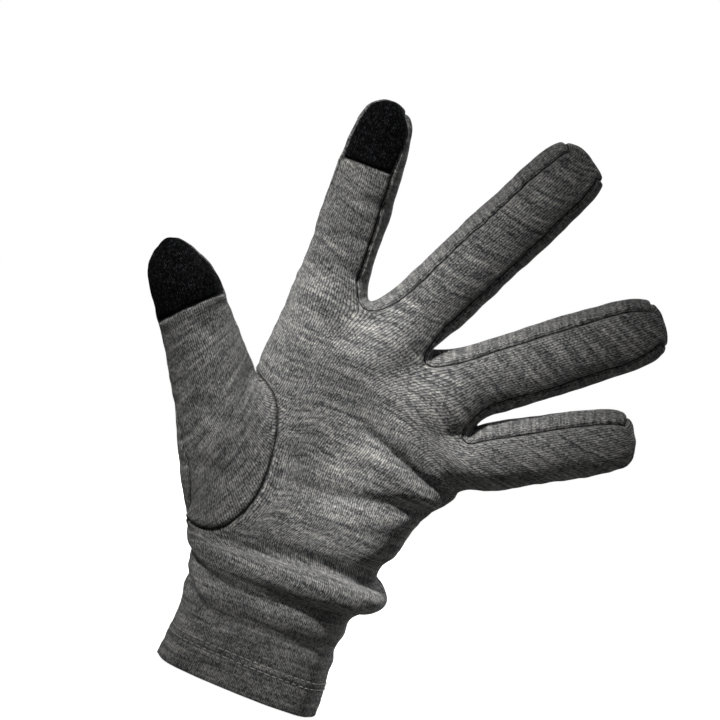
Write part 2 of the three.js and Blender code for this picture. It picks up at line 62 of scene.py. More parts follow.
# Rings round the cuff: x in shares of cuffWidth, z of cuffLength, front and back of cuffDepth
cuffRows = [
    dict(leftX=-0.5, leftZ=0, middleZ=0, rightX=0.483, rightZ=0, front=0.5, back=0.5),
    dict(leftX=-0.485, leftZ=0.24, middleZ=0.25, rightX=0.467, rightZ=0.26, front=0.49, back=0.49),
    dict(leftX=-0.49, leftZ=0.48, middleZ=0.5, rightX=0.455, rightZ=0.53, front=0.49, back=0.49),
    dict(leftX=-0.535, leftZ=0.71, middleZ=0.74, rightX=0.463, rightZ=0.77, front=0.49, back=0.49),
    dict(leftX=-0.57, leftZ=0.82, middleZ=0.85, rightX=0.56, rightZ=0.865, front=0.52, back=0.5),
    dict(leftX=-0.61, leftZ=0.92, middleZ=0.97, rightX=0.612, rightZ=1.02, front=0.52, back=0.5),
]

# Rings round the palm: x in shares of handWidth, z of palmLength above the cuff, front and back
# of palmDepth
palmRows = [
    dict(leftX=-0.462, leftZ=0.017, middleZ=0.061, rightX=0.376, rightZ=0.105, front=0.74, back=0.71),
    dict(leftX=-0.506, leftZ=0.178, middleZ=0.161, rightX=0.405, rightZ=0.178, front=0.7, back=0.66),
    dict(leftX=-0.5, leftZ=0.378, middleZ=0.289, rightX=0.429, rightZ=0.267, front=0.64, back=0.6),
    dict(leftX=-0.446, leftZ=0.656, middleZ=0.433, rightX=0.46, rightZ=0.344, front=0.6, back=0.57),
    dict(leftX=-0.424, leftZ=0.756, middleZ=0.611, rightX=0.497, rightZ=0.406, front=0.57, back=0.54),
    dict(leftX=-0.413, leftZ=0.861, middleZ=0.767, rightX=0.545, rightZ=0.463, front=0.54, back=0.5),
]

# The thumb's seam over the palm, shares of handWidth and palmLength
thumbSeam = [
    dict(row=0, column=0, x=-0.44, z=0.017),
    dict(row=0, column=1, x=-0.369, z=-0.003),
    dict(row=0, column=2, x=-0.274, z=0.039),
    dict(row=1, column=2, x=-0.218, z=0.156),
    dict(row=2, column=2, x=-0.201, z=0.3),
    dict(row=3, column=2, x=-0.22, z=0.45),
    dict(row=3, column=1, x=-0.286, z=0.583),
    dict(row=3, column=0, x=-0.381, z=0.622),
]

# The line of the finger roots, left to right; the roots between two fingers lie deeper
rootLine = [
    dict(x=-0.408, z=0.961, front=0, back=0),
    dict(x=-0.369, z=0.967, front=0.3, back=0.28),
    dict(x=-0.25, z=0.994, front=0.46, back=0.44),
    dict(x=-0.081, z=1.003, front=0.29, back=0.27),
    dict(x=0.077, z=0.972, front=0.46, back=0.44),
    dict(x=0.205, z=0.89, front=0.29, back=0.27),
    dict(x=0.345, z=0.806, front=0.45, back=0.43),
    dict(x=0.468, z=0.689, front=0.28, back=0.26),
    dict(x=0.519, z=0.6, front=0.42, back=0.4),
    dict(x=0.55, z=0.539, front=0.27, back=0.25),
    dict(x=0.563, z=0.511, front=0, back=0),
]
crotches = [
    dict(name="index_middle", x=-0.075, z=1.058),
    dict(name="middle_ring", x=0.232, z=0.978),
    dict(name="ring_little", x=0.519, z=0.765),
]

# Fingers: turn to the right of +Z and lean towards the palm side, in degrees
fingers = [
    dict(x=-0.256, z=1, length=73, turn=-3.3, roll=0,
         leanRoot=1, leanTip=9, width=0.98, taper=0.1, blunt=0.85),
    dict(x=0.085, z=1.0, length=89, turn=25, roll=-5,
         leanRoot=3, leanTip=13, width=1.02, taper=-0.02, blunt=0.5),
    dict(x=0.367, z=0.857, length=78, turn=50.5, roll=-4,
         leanRoot=5, leanTip=15, width=1.03, taper=-0.02, blunt=0.7),
    dict(x=0.533, z=0.622, length=60, turn=59.1, roll=-12,
         leanRoot=5, leanTip=16, width=0.94, taper=-0.03, blunt=0.8),
]
fingerRings = [
    dict(along=0.13, width=1.0, depth=1.0),
    dict(along=0.31, width=1.0, depth=1.0),
    dict(along=0.51, width=1.0, depth=0.98),
    dict(along=0.675, width=0.97, depth=0.94),
    dict(along=0.87, width=0.86, depth=0.8),
    dict(along=0.965, width=0.52, depth=0.46),
]
indexTipRing = 3             # the black touch panel starts at this finger ring

# Thumb's axis and rings, as in the frame: angles in degrees, the rest in shares
thumbAxis = [
    dict(x=-0.5, z=0.4, turn=26),
    dict(turn=48, out=0.62),
]
thumbRings = [
    dict(along=0, slope=82, tilt=8, swing=25, width=2.0, front=0.9, back=0.63, out=0.2, seam=24),
    dict(along=0.118, slope=75, tilt=7, swing=18, width=1.69, front=0.78, back=0.58, out=0.24, seam=20),
    dict(along=0.25, slope=68, tilt=5, swing=12, width=1.44, front=0.7, back=0.57, out=0.28, seam=16),
    dict(along=0.394, slope=61, tilt=3, swing=6, width=1.255, front=0.62, back=0.55, out=0.34, seam=12),
    dict(along=0.52, slope=53, tilt=1, swing=0, width=1.1, front=0.55, back=0.54, out=0.41, seam=10),
    dict(along=0.61, slope=46, tilt=0, swing=0, width=1.04, front=0.5, back=0.5, out=0.47, seam=9),
    dict(along=0.742, slope=43, tilt=0, swing=0, width=0.98, front=0.46, back=0.46, out=0.53, seam=8),
    dict(along=0.86, slope=42, tilt=0, swing=0, width=0.83, front=0.37, back=0.37, out=0.57, seam=6),
    dict(along=0.95, slope=42, tilt=0, swing=0, width=0.52, front=0.22, back=0.22, out=0.6, seam=4),
]
thumbTipRing = 5             # the thumb's black panel starts at this ring
thumbCap = 0.06              # cloth over the tip past the last ring, as a share of thumbLength


points = []                  # where the smooth cloth has to pass, mm
faces = []                   # corners and panel of each four-sided face
cloth = {}                   # (panel family, point) to its place on the flat cloth, mm

families = {
    "palm_panel": "body", "back_panel": "body", "index_tip": "body",
    "thumb_front": "thumbFront", "thumb_tip": "thumbFront", "thumb_back": "thumbBack",
}


def familyOf(panel):
    return families.get(panel, "strip")


def lerp(a, b, share):
    return a + (b - a) * share


# A spot given in shares of handWidth and palmLength, as x and z in mm
def handSpot(spot):
    return spot["x"] * glove["handWidth"], glove["cuffLength"] + spot["z"] * glove["palmLength"]


def addPoint(x, y, z):
    points.append((x, y, z))
    return len(points) - 1


def backSlot(column):
    return 2 * columns - column


def gap(a, b):
    return math.dist(points[a], points[b])


def ovalShare(share):
    power = glove["roundness"]
    return max(0.0, 1 - abs(share) ** power) ** (1 / power)


def sizedRow(row, width, length, depth, floor):
    return dict(
        left=row["leftX"] * width, right=row["rightX"] * width,
        leftZ=floor + row["leftZ"] * length, middleZ=floor + row["middleZ"] * length,
        rightZ=floor + row["rightZ"] * length,
        front=row["front"] * depth, back=row["back"] * depth,
    )


def rowPoint(row, share, depth):
    middle = (row["left"] + row["right"]) / 2
    half = (row["right"] - row["left"]) / 2
    straight = (row["rightZ"] - row["leftZ"]) / 2
    bend = (row["rightZ"] + row["leftZ"]) / 2 - row["middleZ"]
    height = row["middleZ"] + straight * share + bend * share * share
    return addPoint(middle + half * share, depth * ovalShare(share), height)


def bodyRing(row, index, columnX):
    ring = [None] * ringSize
    spots = [spot for spot in thumbSeam if spot["row"] == index - len(cuffRows)]
    insideHole = len(cuffRows) < index < len(cuffRows) + 3
    middle = (row["left"] + row["right"]) / 2
    half = (row["right"] - row["left"]) / 2
    for spot in spots:
        x, z = handSpot(spot)
        ring[spot["column"]] = addPoint(x, -row["front"] * ovalShare((x - middle) / half), z)
    seamColumn = max([-1] + [spot["column"] for spot in spots])
    for column in range(seamColumn + 1, columns):
        share = columnX[column]
        if seamColumn >= 0:
            seamShare = (points[ring[seamColumn]][0] - middle) / half
            share = lerp(seamShare, 1, (share - columnX[seamColumn]) / (1 - columnX[seamColumn]))
        ring[column] = rowPoint(row, share, -row["front"])
    for column in range(columns):
        ring[backSlot(column)] = rowPoint(row, columnX[column], row["back"])
    ring[rightMid] = rowPoint(row, 1, -row["front"])
    ring[leftMid] = None if insideHole else rowPoint(row, -1, -row["front"])
    return ring


def rootRing():
    ring = [None] * ringSize
    for index, spot in enumerate(rootLine):
        column = index - 1
        x, z = handSpot(spot)
        if column in (-1, columns):
            ring[leftMid if column < 0 else rightMid] = addPoint(x, 0, z)
        else:
            ring[column] = addPoint(x, -spot["front"] * glove["palmDepth"], z)
            ring[backSlot(column)] = addPoint(x, spot["back"] * glove["palmDepth"], z)
    return ring


def joinRings(lower, upper, panelOf):
    for slot in range(len(lower)):
        following = (slot + 1) % len(lower)
        panel = panelOf(slot)
        if panel:
            faces.append(((lower[slot], lower[following], upper[following], upper[slot]), panel))


def closeTip(ring, middles, frontPanel, backPanel):
    count = len(ring) // 2 - 1
    front = ring[:count]
    back = ring[count + 1:2 * count + 1][::-1]
    line = [ring[-1], *middles, ring[count]]
    for i in range(count - 1):
        faces.append(((front[i], front[i + 1], line[i + 1], line[i]), frontPanel))
        faces.append(((line[i], line[i + 1], back[i + 1], back[i]), backPanel))


# An oval ring of a digit: front from left to right, right side, back, left side
def ovalRing(count, centre, axes, size, roll=0.0, seam=0.0):
    ring = []
    half = count // 2
    for slot in range(1, count + 1):
        if slot <= half:
            angle = lerp(math.pi - seam, seam, slot / half)
        else:
            angle = lerp(seam, -math.pi - seam, (slot - half) / half)
        across = math.cos(angle + roll) * size["halfWidth"]
        share = math.sin(angle + roll)
        depth = axes["front"] * share * size["front"] if share > 0 else axes["back"] * -share * size["back"]
        ring.append(addPoint(*(centre + axes["side"] * across + depth)))
    return ring


def digitAxes(turn, lean):
    along = Vector((math.sin(turn) * math.cos(lean), -math.sin(lean), math.cos(turn) * math.cos(lean)))
    side = Vector((math.cos(turn), 0, -math.sin(turn)))
    front = side.cross(along).normalized()
    return dict(along=along, side=side, front=front, back=-front)


def walkDigit(start, length, axesAt, share, steps=24):
    place = start.copy()
    for i in range(steps):
        place += axesAt(share * (i + 0.5) / steps)["along"] * (length * share / steps)
    return place


def fingerPanel(number, slot, black):
    if slot in (0, 1) or (number == 0 and slot == 7):
        return "index_tip" if black else "palm_panel"
    if number == len(fingers) - 1 and slot == 2:
        return "palm_panel"
    if slot == 2 or (slot == 3 and number < len(fingers) - 1):
        return "fourchette_" + crotches[number]["name"]
    if slot == 7 or (slot == 6 and number > 0):
        return "fourchette_" + crotches[number - 1]["name"]
    return "back_panel"


# Where a finger's ring lies on the flat cloth: the body's columns, and the strips between
def layFinger(number, ring, root, reach, width):
    first = 2 * number
    middle = cloth["body", root[first + 1]][0]
    for slot, step in ((0, -1), (1, 0), (2, 1), (4, 1), (5, 0), (6, -1), (3, 1.6), (7, -1.6)):
        near = root[first + 1 + (1 if step > 0.5 else -1 if step < -0.5 else 0)]
        if slot in (4, 5, 6):
            near = root[backSlot(first + 1 + int(step))]
        height = cloth["body", near][1]
        cloth["body", ring[slot]] = (middle + step * width * columnPitch, height + reach)
    for slot, across in ((2, 0), (3, 1), (4, 2)):
        cloth.setdefault(("strip", ring[slot]), (across * columnPitch, -reach))
    for slot, across in ((0, 0), (7, 1), (6, 2)):
        cloth.setdefault(("strip", ring[slot]), (across * columnPitch, reach))


def addFinger(number, root, crotchPoints):
    finger = fingers[number]
    x, z = handSpot(finger)
    start = Vector((x, 0, z))

    def axesAt(share):
        lean = lerp(finger["leanRoot"], finger["leanTip"], share)
        return digitAxes(math.radians(finger["turn"]), math.radians(lean))

    column = 2 * number
    ring = [
        root[column], root[column + 1], root[column + 2],
        crotchPoints[number] if number < len(crotchPoints) else root[rightMid],
        root[backSlot(column + 2)], root[backSlot(column + 1)], root[backSlot(column)],
        crotchPoints[number - 1] if number > 0 else root[leftMid],
    ]
    for index, row in enumerate(fingerRings):
        centre = walkDigit(start, finger["length"], axesAt, row["along"])
        breadth = row["width"] ** finger["blunt"]
        width = glove["fingerWidth"] * finger["width"] * breadth * (1 - finger["taper"] * row["along"])
        depth = glove["fingerDepth"] * finger["width"] * row["depth"]
        size = dict(halfWidth=width / 2, front=depth / 2, back=depth / 2)
        upper = ovalRing(len(ring), centre, axesAt(row["along"]), size, roll=math.radians(finger["roll"]))
        layFinger(number, upper, root, finger["length"] * row["along"], breadth)
        black = number == 0 and index > indexTipRing
        joinRings(ring, upper, lambda slot: fingerPanel(number, slot, black))
        ring = upper
    tip = addPoint(*walkDigit(start, finger["length"], axesAt, 1))
    middle, height = cloth["body", ring[1]]
    cloth["body", tip] = (middle, height + finger["length"] * (1 - fingerRings[-1]["along"]) * 2)
    closeTip(ring, [tip], "index_tip" if number == 0 else "palm_panel", "back_panel")


# The thumb's cloth is measured from the middle of its front and of its back
def layThumb(ring, reaches, pitch):
    count = len(ring)
    for slot, point in enumerate(ring):
        frontSlot = slot - count if slot == count - 1 else slot
        cloth["thumbFront", point] = ((frontSlot - (count / 2 - 2) / 2) * pitch, reaches[slot])
        cloth["thumbBack", point] = ((slot - (3 * count / 2 - 2) / 2) * pitch, reaches[slot])


def addThumb(body):
    rowA = body[len(cuffRows)]
    rowD = body[len(cuffRows) + 3]
    inner = body[len(cuffRows) + 1:len(cuffRows) + 3]
    ring = [
        rowA[1], rowA[2], *[row[2] for row in inner], rowD[2], rowD[1],
        rowD[0],
        rowD[leftMid], rowD[backSlot(0)], *[row[backSlot(0)] for row in reversed(inner)],
        rowA[backSlot(0)], rowA[leftMid],
        rowA[0],
    ]
    foot, end = thumbAxis
    x, z = handSpot(foot)
    start = Vector((x, 0, z))

    def axesAt(share):
        return digitAxes(-math.radians(lerp(foot["turn"], end["turn"], share)), 0)

    def shiftAt(row):
        return Vector((0, -row["out"] * glove["palmDepth"], 0))

    base = ring
    count = len(ring) // 2 - 1
    for index, row in enumerate(thumbRings):
        slope, tilt, swing = (math.radians(row[name]) for name in ("slope", "tilt", "swing"))
        side = Vector((math.cos(slope), math.tan(tilt), math.sin(slope))).normalized()
        front = Vector((math.sin(swing), -math.cos(swing), 0))
        axes = dict(side=side, front=front, back=Vector((0, 1, 0)))
        centre = walkDigit(start, glove["thumbLength"], axesAt, row["along"]) + shiftAt(row)
        size = dict(halfWidth=row["width"] * glove["thumbWidth"] / 2,
                    front=row["front"] * glove["thumbDepth"], back=row["back"] * glove["thumbDepth"])
        upper = ovalRing(len(ring), centre, axes, size, seam=math.radians(row["seam"]))
        pitch = sum(gap(a, b) for a, b in zip(upper, upper[1:] + upper[:1])) / len(upper)
        if index == 0:
            layThumb(base, [-gap(low, high) for low, high in zip(base, upper)], pitch)
        layThumb(upper, [glove["thumbLength"] * row["along"]] * len(upper), pitch)
        frontPanel = "thumb_tip" if index > thumbTipRing else "thumb_front"
        joinRings(ring, upper, lambda slot: frontPanel if slot < count or slot == len(ring) - 1
                  else "thumb_back")
        ring = upper
    tip = walkDigit(start, glove["thumbLength"], axesAt, 1) + shiftAt(end)
    left = Vector(points[ring[-1]])
    right = Vector(points[ring[count]])
    rise = tip - (left + right) / 2
    middles = []
    for i in range(1, count - 1):
        share = i / (count - 1)
        middles.append(addPoint(*(left.lerp(right, share) + rise * math.sin(math.pi * share))))
        reach = glove["thumbLength"] * (thumbRings[-1]["along"] + thumbCap)
        cloth["thumbFront", middles[-1]] = ((i - (count - 1) / 2) * pitch, reach)
        cloth["thumbBack", middles[-1]] = (((count - 1) / 2 - i) * pitch, reach)
    closeTip(ring, middles, "thumb_tip", "thumb_back")


# Places of the body's points on the flat cloth: columns across, real lengths along
def layBody(rings):
    for column in range(-1, columns + 1):
        slots = [column, backSlot(column)] if 0 <= column < columns else [leftMid if column < 0 else rightMid]
        for slot in slots:
            height = 0.0
            last = None
            for ring in rings:
                point = ring[slot]
                if point is None:
                    continue
                if last is not None:
                    height += gap(last, point)
                cloth["body", point] = ((column - columns // 2) * columnPitch, height)
                last = point


def buildNet():
    columnX = [round((i - columns // 2) * columnStep, 2) for i in range(columns)]
    columnX[0], columnX[-1] = -columnEdge, columnEdge
    rows = [sizedRow(row, glove["cuffWidth"], glove["cuffLength"], glove["cuffDepth"], 0)
            for row in cuffRows]
    rows += [sizedRow(row, glove["handWidth"], glove["palmLength"], glove["palmDepth"], glove["cuffLength"])
             for row in palmRows]
    body = [bodyRing(row, index, columnX) for index, row in enumerate(rows)]
    rings = body + [rootRing()]
    layBody(rings)
    openSlots = (0, 1, backSlot(0), leftMid)

    def bodyPanel(index, slot):
        if len(cuffRows) <= index < len(cuffRows) + 3 and slot in openSlots:
            return None
        return "palm_panel" if slot < rightMid or slot == leftMid else "back_panel"

    for index in range(len(rings) - 1):
        joinRings(rings[index], rings[index + 1], lambda slot: bodyPanel(index, slot))
    crotchPoints = []
    for number, spot in enumerate(crotches):
        x, z = handSpot(spot)
        point = addPoint(x, 0, z)
        crotchPoints.append(point)
        column = 2 * number + 2
        cloth["strip", point] = (columnPitch, 0)
        cloth["strip", rings[-1][column]] = (0, 0)
        cloth["strip", rings[-1][backSlot(column)]] = (2 * columnPitch, 0)
    for number in range(len(fingers)):
        addFinger(number, rings[-1], crotchPoints)
    addThumb(body)


buildNet()
panels = list(dict.fromkeys(panel for corners, panel in faces))
netQuads = np.array([corners for corners, panel in faces])
netPanel = np.array([panels.index(panel) for corners, panel in faces])
print("net:", len(points), "points,", len(faces), "faces")


def gather(where, values, count):
    return np.stack([np.bincount(where, values[:, i], count) for i in range(values.shape[1])], 1)


aroundQuad = [0, 1, 1, 2, 2, 3, 3, 0]      # the corners of a four-sided face, edge by edge


# The edges of a mesh of four-sided faces: their ends, each face's four, and how many faces use one
def edgesOf(quads):
    pairs = quads[:, aroundQuad].reshape(-1, 2)
    keys = pairs.min(1).astype(np.int64) * (quads.max() + 1) + pairs.max(1)
    first, inverse, uses = np.unique(keys, return_index=True, return_inverse=True,
                                     return_counts=True)[1:]
    return np.sort(pairs[first], 1), inverse.reshape(-1, 4), uses


def rimSum(places, ends, uses):
    rim = ends[uses == 1]
    both = np.concatenate([rim, rim[:, ::-1]])
    total = gather(both[:, 0], places[both[:, 1]], len(places))
    return total, np.bincount(both[:, 0], minlength=len(places)) == 2


def aroundSums(places, quads, ends):
    both = np.concatenate([ends, ends[:, ::-1]])
    near = gather(both[:, 0], places[both[:, 1]], len(places))
    valence = np.bincount(both[:, 0], minlength=len(places))
    return near, valence[:, None].astype(float)


# One step of subdivision; the old points keep their numbers
def refine(places, quads):
    ends, sides, uses = edgesOf(quads)
    near, valence = aroundSums(places, quads, ends)
    centres = places[quads].mean(1)
    centreSum = gather(quads.ravel(), np.repeat(centres, 4, 0), len(places))
    rim, onRim = rimSum(places, ends, uses)
    nearMean = (near / valence + places) / 2
    moved = (centreSum / valence + 2 * nearMean + (valence - 3) * places) / valence
    moved[onRim] = ((6 * places + rim) / 8)[onRim]
    middle = places[ends].mean(1)
    besides = gather(sides.ravel(), np.repeat(centres, 4, 0), len(ends))
    middle[uses == 2] = ((2 * middle + besides) / 4)[uses == 2]
    centre = len(places) + np.arange(len(quads))
    edge = len(places) + len(quads) + sides
    finer = np.stack([
        np.stack([quads[:, i], edge[:, i], centre, edge[:, (i + 3) % 4]], 1) for i in range(4)
    ], 1).reshape(-1, 4)
    return np.concatenate([moved, centres, middle]), finer


# Where each point ends up when the mesh is refined for ever
def limitPlaces(places, quads):
    ends, sides, uses = edgesOf(quads)
    near, valence = aroundSums(places, quads, ends)
    far = gather(quads.ravel(), places[quads[:, [2, 3, 0, 1]]].reshape(-1, places.shape[1]), len(places))
    rim, onRim = rimSum(places, ends, uses)
    reached = (valence * valence * places + 4 * near + far) / (valence * (valence + 5))
    reached[onRim] = ((4 * places + rim) / 6)[onRim]
    return reached


def fitNet(targets, quads, rounds=8):
    net = targets.copy()
    for step in range(rounds):
        net += targets - limitPlaces(net, quads)
    return net


def pointNormals(places, quads):
    a, b, c, d = (places[quads[:, i]] for i in range(4))
    normals = gather(quads.ravel(), np.repeat(np.cross(c - a, d - b), 4, 0), len(places))
    return normals / np.maximum(np.linalg.norm(normals, axis=1, keepdims=True), 1e-12)


# The flat cloth as a mesh of its own: one point for each point of each panel
clothKeys = {}
for corners, panel in faces:
    for corner in corners:
        clothKeys.setdefault((panel, corner), len(clothKeys))
clothQuads = np.array([[clothKeys[panel, corner] for corner in corners] for corners, panel in faces])
clothPlaces = np.array([cloth[familyOf(panel), corner] for panel, corner in clothKeys], float)

targets = np.array(points, float)
levels = [(fitNet(targets, netQuads), netQuads)]
clothLevels = [(clothPlaces, clothQuads)]
for step in range(glove["fineSteps"]):
    levels.append(refine(*levels[-1]))
    clothLevels.append(refine(*clothLevels[-1]))
places, quads = levels[-1]
places = limitPlaces(places, quads)
clothPlaces = clothLevels[-1][0]
clothQuads = clothLevels[-1][1]
panelOf = np.repeat(netPanel, 4 ** glove["fineSteps"])
print("cloth refined to", len(quads), "faces")


# The seam between two panels, as pairs of neighbouring points
def seamPairs(test):
    ends, sides, uses = edgesOf(quads)
    flat = sides.ravel()
    owner = np.repeat(panelOf, 4)
    order = np.argsort(flat, kind="stable")
    starts = np.searchsorted(flat[order], np.arange(len(ends)))
    first = owner[order[starts]]
    last = owner[order[starts + uses - 1]]
    return ends[(uses == 2) & test(first, last)]


def treeOf(spots):
    tree = KDTree(len(spots))
    for i, spot in enumerate(spots):
        tree.insert(spot, i)
    tree.balance()
    return tree


# The thumb's seam and the seams round the finger roots run as even curves; the cloth beside them
# follows. samples is how many points each one is evened over, reach how far the cloth follows.
easing = {
    "thumb": (9, 7), "crotch": (4, 4), "crotchReach": 16,
    "neighbours": 6, "blend": 0.8, "least": 0.02, "cut": 2.5,
}


def easeSeam(places, inside, samples, reach, weightAt):
    pairs = seamPairs(lambda a, b: inside[a] != inside[b])
    following = {}
    for a, b in pairs.tolist():
        following.setdefault(a, []).append(b)
        following.setdefault(b, []).append(a)
    loop = [int(pairs[0, 0])]
    while True:
        onward = [point for point in following[loop[-1]] if len(loop) < 2 or point != loop[-2]]
        if not onward or onward[0] == loop[0]:
            break
        loop.append(onward[0])
    line = places[loop]
    eased = np.zeros_like(line)
    total = 0.0
    for shift in range(-3 * samples, 3 * samples + 1):
        weight = math.exp(-0.5 * (shift / samples) ** 2)
        eased += np.roll(line, shift, 0) * weight
        total += weight
    move = (eased / total - line) * weightAt(line)[:, None]
    tree = treeOf(line)
    result = places.copy()
    moved = line[np.linalg.norm(move, axis=1) > easing["least"]]
    low = moved.min(0) - 2 * reach
    high = moved.max(0) + 2 * reach
    for i in np.nonzero(np.all((places > low) & (places < high), 1))[0]:
        found = tree.find_n(places[i], easing["neighbours"])
        distance = found[0][2]
        if distance > easing["cut"] * reach:
            continue
        weights = np.exp(-(np.array([hit[2] - distance for hit in found]) / easing["blend"]) ** 2)
        shift = (move[[hit[1] for hit in found]] * weights[:, None]).sum(0) / weights.sum()
        result[i] += shift * math.exp(-(distance / reach) ** 2)
    return result


thumbPanels = np.array([name.startswith("thumb") for name in panels])
places = easeSeam(places, thumbPanels, *easing["thumb"], lambda line: np.ones(len(line)))
for spot in crotches:
    foot = handSpot(spot)
    strip = np.array([name == "fourchette_" + spot["name"] for name in panels])
    places = easeSeam(places, strip, *easing["crotch"], lambda line: np.exp(
        -(np.hypot(line[:, 0] - foot[0], line[:, 2] - foot[1]) / easing["crotchReach"]) ** 4))

# Seams that lie further round the index finger than its corners: angles in degrees round the
# finger, 180 its left side and 90 its front; the slide grows between two shares of its length
slides = [
    dict(angle=180, turn=-24, width=46, start=0.2, end=0.55),
    dict(angle=45, turn=-26, width=36, start=0.68, end=0.95),
]
slideReach = 0.7             # how far round its middle the finger goes, as a share of its width


def slideSeams(places):
    finger = fingers[0]
    x, z = handSpot(finger)
    foot = np.array([x, 0, z])
    lean = math.radians((finger["leanRoot"] + finger["leanTip"]) / 2)
    axes = {name: np.array(axis) for name, axis in digitAxes(math.radians(finger["turn"]), lean).items()}
    away = places - foot
    along = away @ axes["along"]
    radial = away - along[:, None] * axes["along"]
    across, forward = radial @ axes["side"], radial @ axes["front"]
    angle = np.degrees(np.arctan2(forward, across))
    share = along / finger["length"]
    turn = np.zeros(len(places))
    for slide in slides:
        apart = (angle - slide["angle"] + 180) % 360 - 180
        grown = np.clip((share - slide["start"]) / (slide["end"] - slide["start"]), 0, 1)
        turn += slide["turn"] * np.exp(-(apart / slide["width"]) ** 2) * grown * grown * (3 - 2 * grown)
    onFinger = (np.hypot(across, forward) < slideReach * glove["fingerWidth"]) & (share > 0)
    turn = np.radians(np.where(onFinger, turn, 0))
    newAcross = across * np.cos(turn) - forward * np.sin(turn)
    newForward = across * np.sin(turn) + forward * np.cos(turn)
    return places + ((newAcross - across)[:, None] * axes["side"]
                     + (newForward - forward)[:, None] * axes["front"])


places = slideSeams(places)

# Small swells and dents of single places, at a point in mm: the tip of the thumb is uneven, where
# its cloth isn't filled
dents = [
    dict(at=(-58, -19, 127), reach=7, depth=1.5),
    dict(at=(-84, -18, 131), reach=6, depth=-1.4),
    dict(at=(-66, -19, 138), reach=6, depth=-0.9),
    dict(at=(-34, 0, 152), reach=7, depth=-0.5),
    dict(at=(-27, 0, 168), reach=8, depth=0.5),
    dict(at=(-38, 0, 140), reach=7, depth=0.5),
    dict(at=(66, 0, 150), reach=8, depth=0.5),
    dict(at=(30, 0, 178), reach=8, depth=-0.5),
]


# Swells and hollows of palm and back, shares of handWidth, palmLength and palmDepth, outwards positive
swells = [
    dict(side="front", x=0.25, z=0.2, acrossX=0.2, acrossZ=0.28, depth=0.1),
    dict(side="front", x=0.02, z=0.45, acrossX=0.2, acrossZ=0.25, depth=-0.12),
    dict(side="front", x=-0.25, z=0.85, acrossX=0.13, acrossZ=0.12, depth=0.05),
    dict(side="front", x=0.06, z=0.84, acrossX=0.13, acrossZ=0.12, depth=0.05),
    dict(side="front", x=0.29, z=0.68, acrossX=0.12, acrossZ=0.11, depth=0.04),
    dict(side="back", x=0, z=0.75, acrossX=0.35, acrossZ=0.25, depth=0.06),
]

# Folds over the front or the back: a path in mm, half width and depth in mm, outwards positive.
# sharp is 2 for a soft fold and 1 for a crease, fade the shares of the path that its ends take.
folds = [
    # palm: the groove from the little finger's side, and the band over the heel
    dict(side="front", path=[(-9, 106), (0.8, 101.8), (14, 97.2), (22.5, 94.4), (34.1, 90.4), (46, 87.8)],
         halfWidth=1.6, depth=-3.3, sharp=1.25, fade=(0.6, 0.02)),
    dict(side="front", path=[(2, 94), (18, 90), (30, 85.4), (43, 83)],
         halfWidth=3.6, depth=2.0, sharp=2, fade=(0.5, 0.1)),
    dict(side="front", path=[(-10.3, 72.5), (-0.2, 73.2), (10.2, 75.2), (23.4, 78), (41, 80.5)],
         halfWidth=3.0, depth=-2.9, sharp=1.8, fade=(0.45, 0.05)),
    dict(side="front", path=[(-4, 66), (8, 67.5), (20, 70), (33, 72)], halfWidth=3.6, depth=0.7, sharp=2),
    dict(side="front", path=[(8, 112), (20, 106.5), (32, 101)], halfWidth=2.6, depth=-0.8, sharp=2),
    dict(side="front", path=[(-14, 112), (-2, 108), (8, 103)], halfWidth=2.8, depth=-0.6, sharp=2),
    # fingers: shallow bends across
    dict(side="front", path=[(-30.5, 157.8), (-23.4, 158.9), (-11, 160)],
         halfWidth=1.9, depth=-0.85, sharp=2),
    dict(side="front", path=[(-29, 149), (-19.3, 147.8), (-9, 146)], halfWidth=2.1, depth=-0.9, sharp=2),
    dict(side="front", path=[(-28, 171.2), (-22.6, 171.9), (-12, 173)], halfWidth=2.0, depth=-0.75, sharp=2),
    dict(side="front", path=[(-32, 133.5), (-16.3, 126.6), (-5, 124)], halfWidth=2.6, depth=-0.8, sharp=2),
    dict(side="front", path=[(34, 106.5), (40.3, 111.9), (46, 117)], halfWidth=1.4, depth=-1.3, sharp=1.5),
    dict(side="front", path=[(14, 147), (22, 143), (31, 138)], halfWidth=2.0, depth=-0.5, sharp=2),
    dict(side="front", path=[(46, 125.5), (50, 120), (55, 113)], halfWidth=1.8, depth=-0.5, sharp=2),
    # thumb
    dict(side="front", path=[(-66, 120), (-58, 112), (-49, 107)], halfWidth=2.4, depth=-1.0, sharp=2),
    dict(side="front", path=[(-52, 88), (-42, 84), (-32, 84)], halfWidth=3.2, depth=-1.0, sharp=2),
    dict(side="front", path=[(-44, 68), (-34, 66), (-25, 70)], halfWidth=2.8, depth=-0.8, sharp=2),
    # back
    dict(side="back", path=[(-30, 66), (-8, 64), (16, 68), (34, 76)], halfWidth=3.4, depth=-1.6, sharp=2),
    dict(side="back", path=[(-24, 78), (-4, 76), (14, 80)], halfWidth=3.0, depth=-0.8, sharp=2),
    dict(side="back", path=[(-30, 128), (-12, 131), (4, 133)], halfWidth=2.6, depth=-0.5, sharp=2),
    dict(side="back", path=[(16, 126), (28, 120), (38, 110)], halfWidth=2.4, depth=-0.5, sharp=2),
    dict(side="back", path=[(-30, 160), (-20, 161), (-12, 160)], halfWidth=2.0, depth=-0.5, sharp=2),
    dict(side="back", path=[(24, 160), (32, 155), (39, 150)], halfWidth=2.0, depth=-0.5, sharp=2),
]

foldStyle = {"fade": (0.25, 0.25), "least": 0.1, "facing": 0.6, "pathPoints": 28}

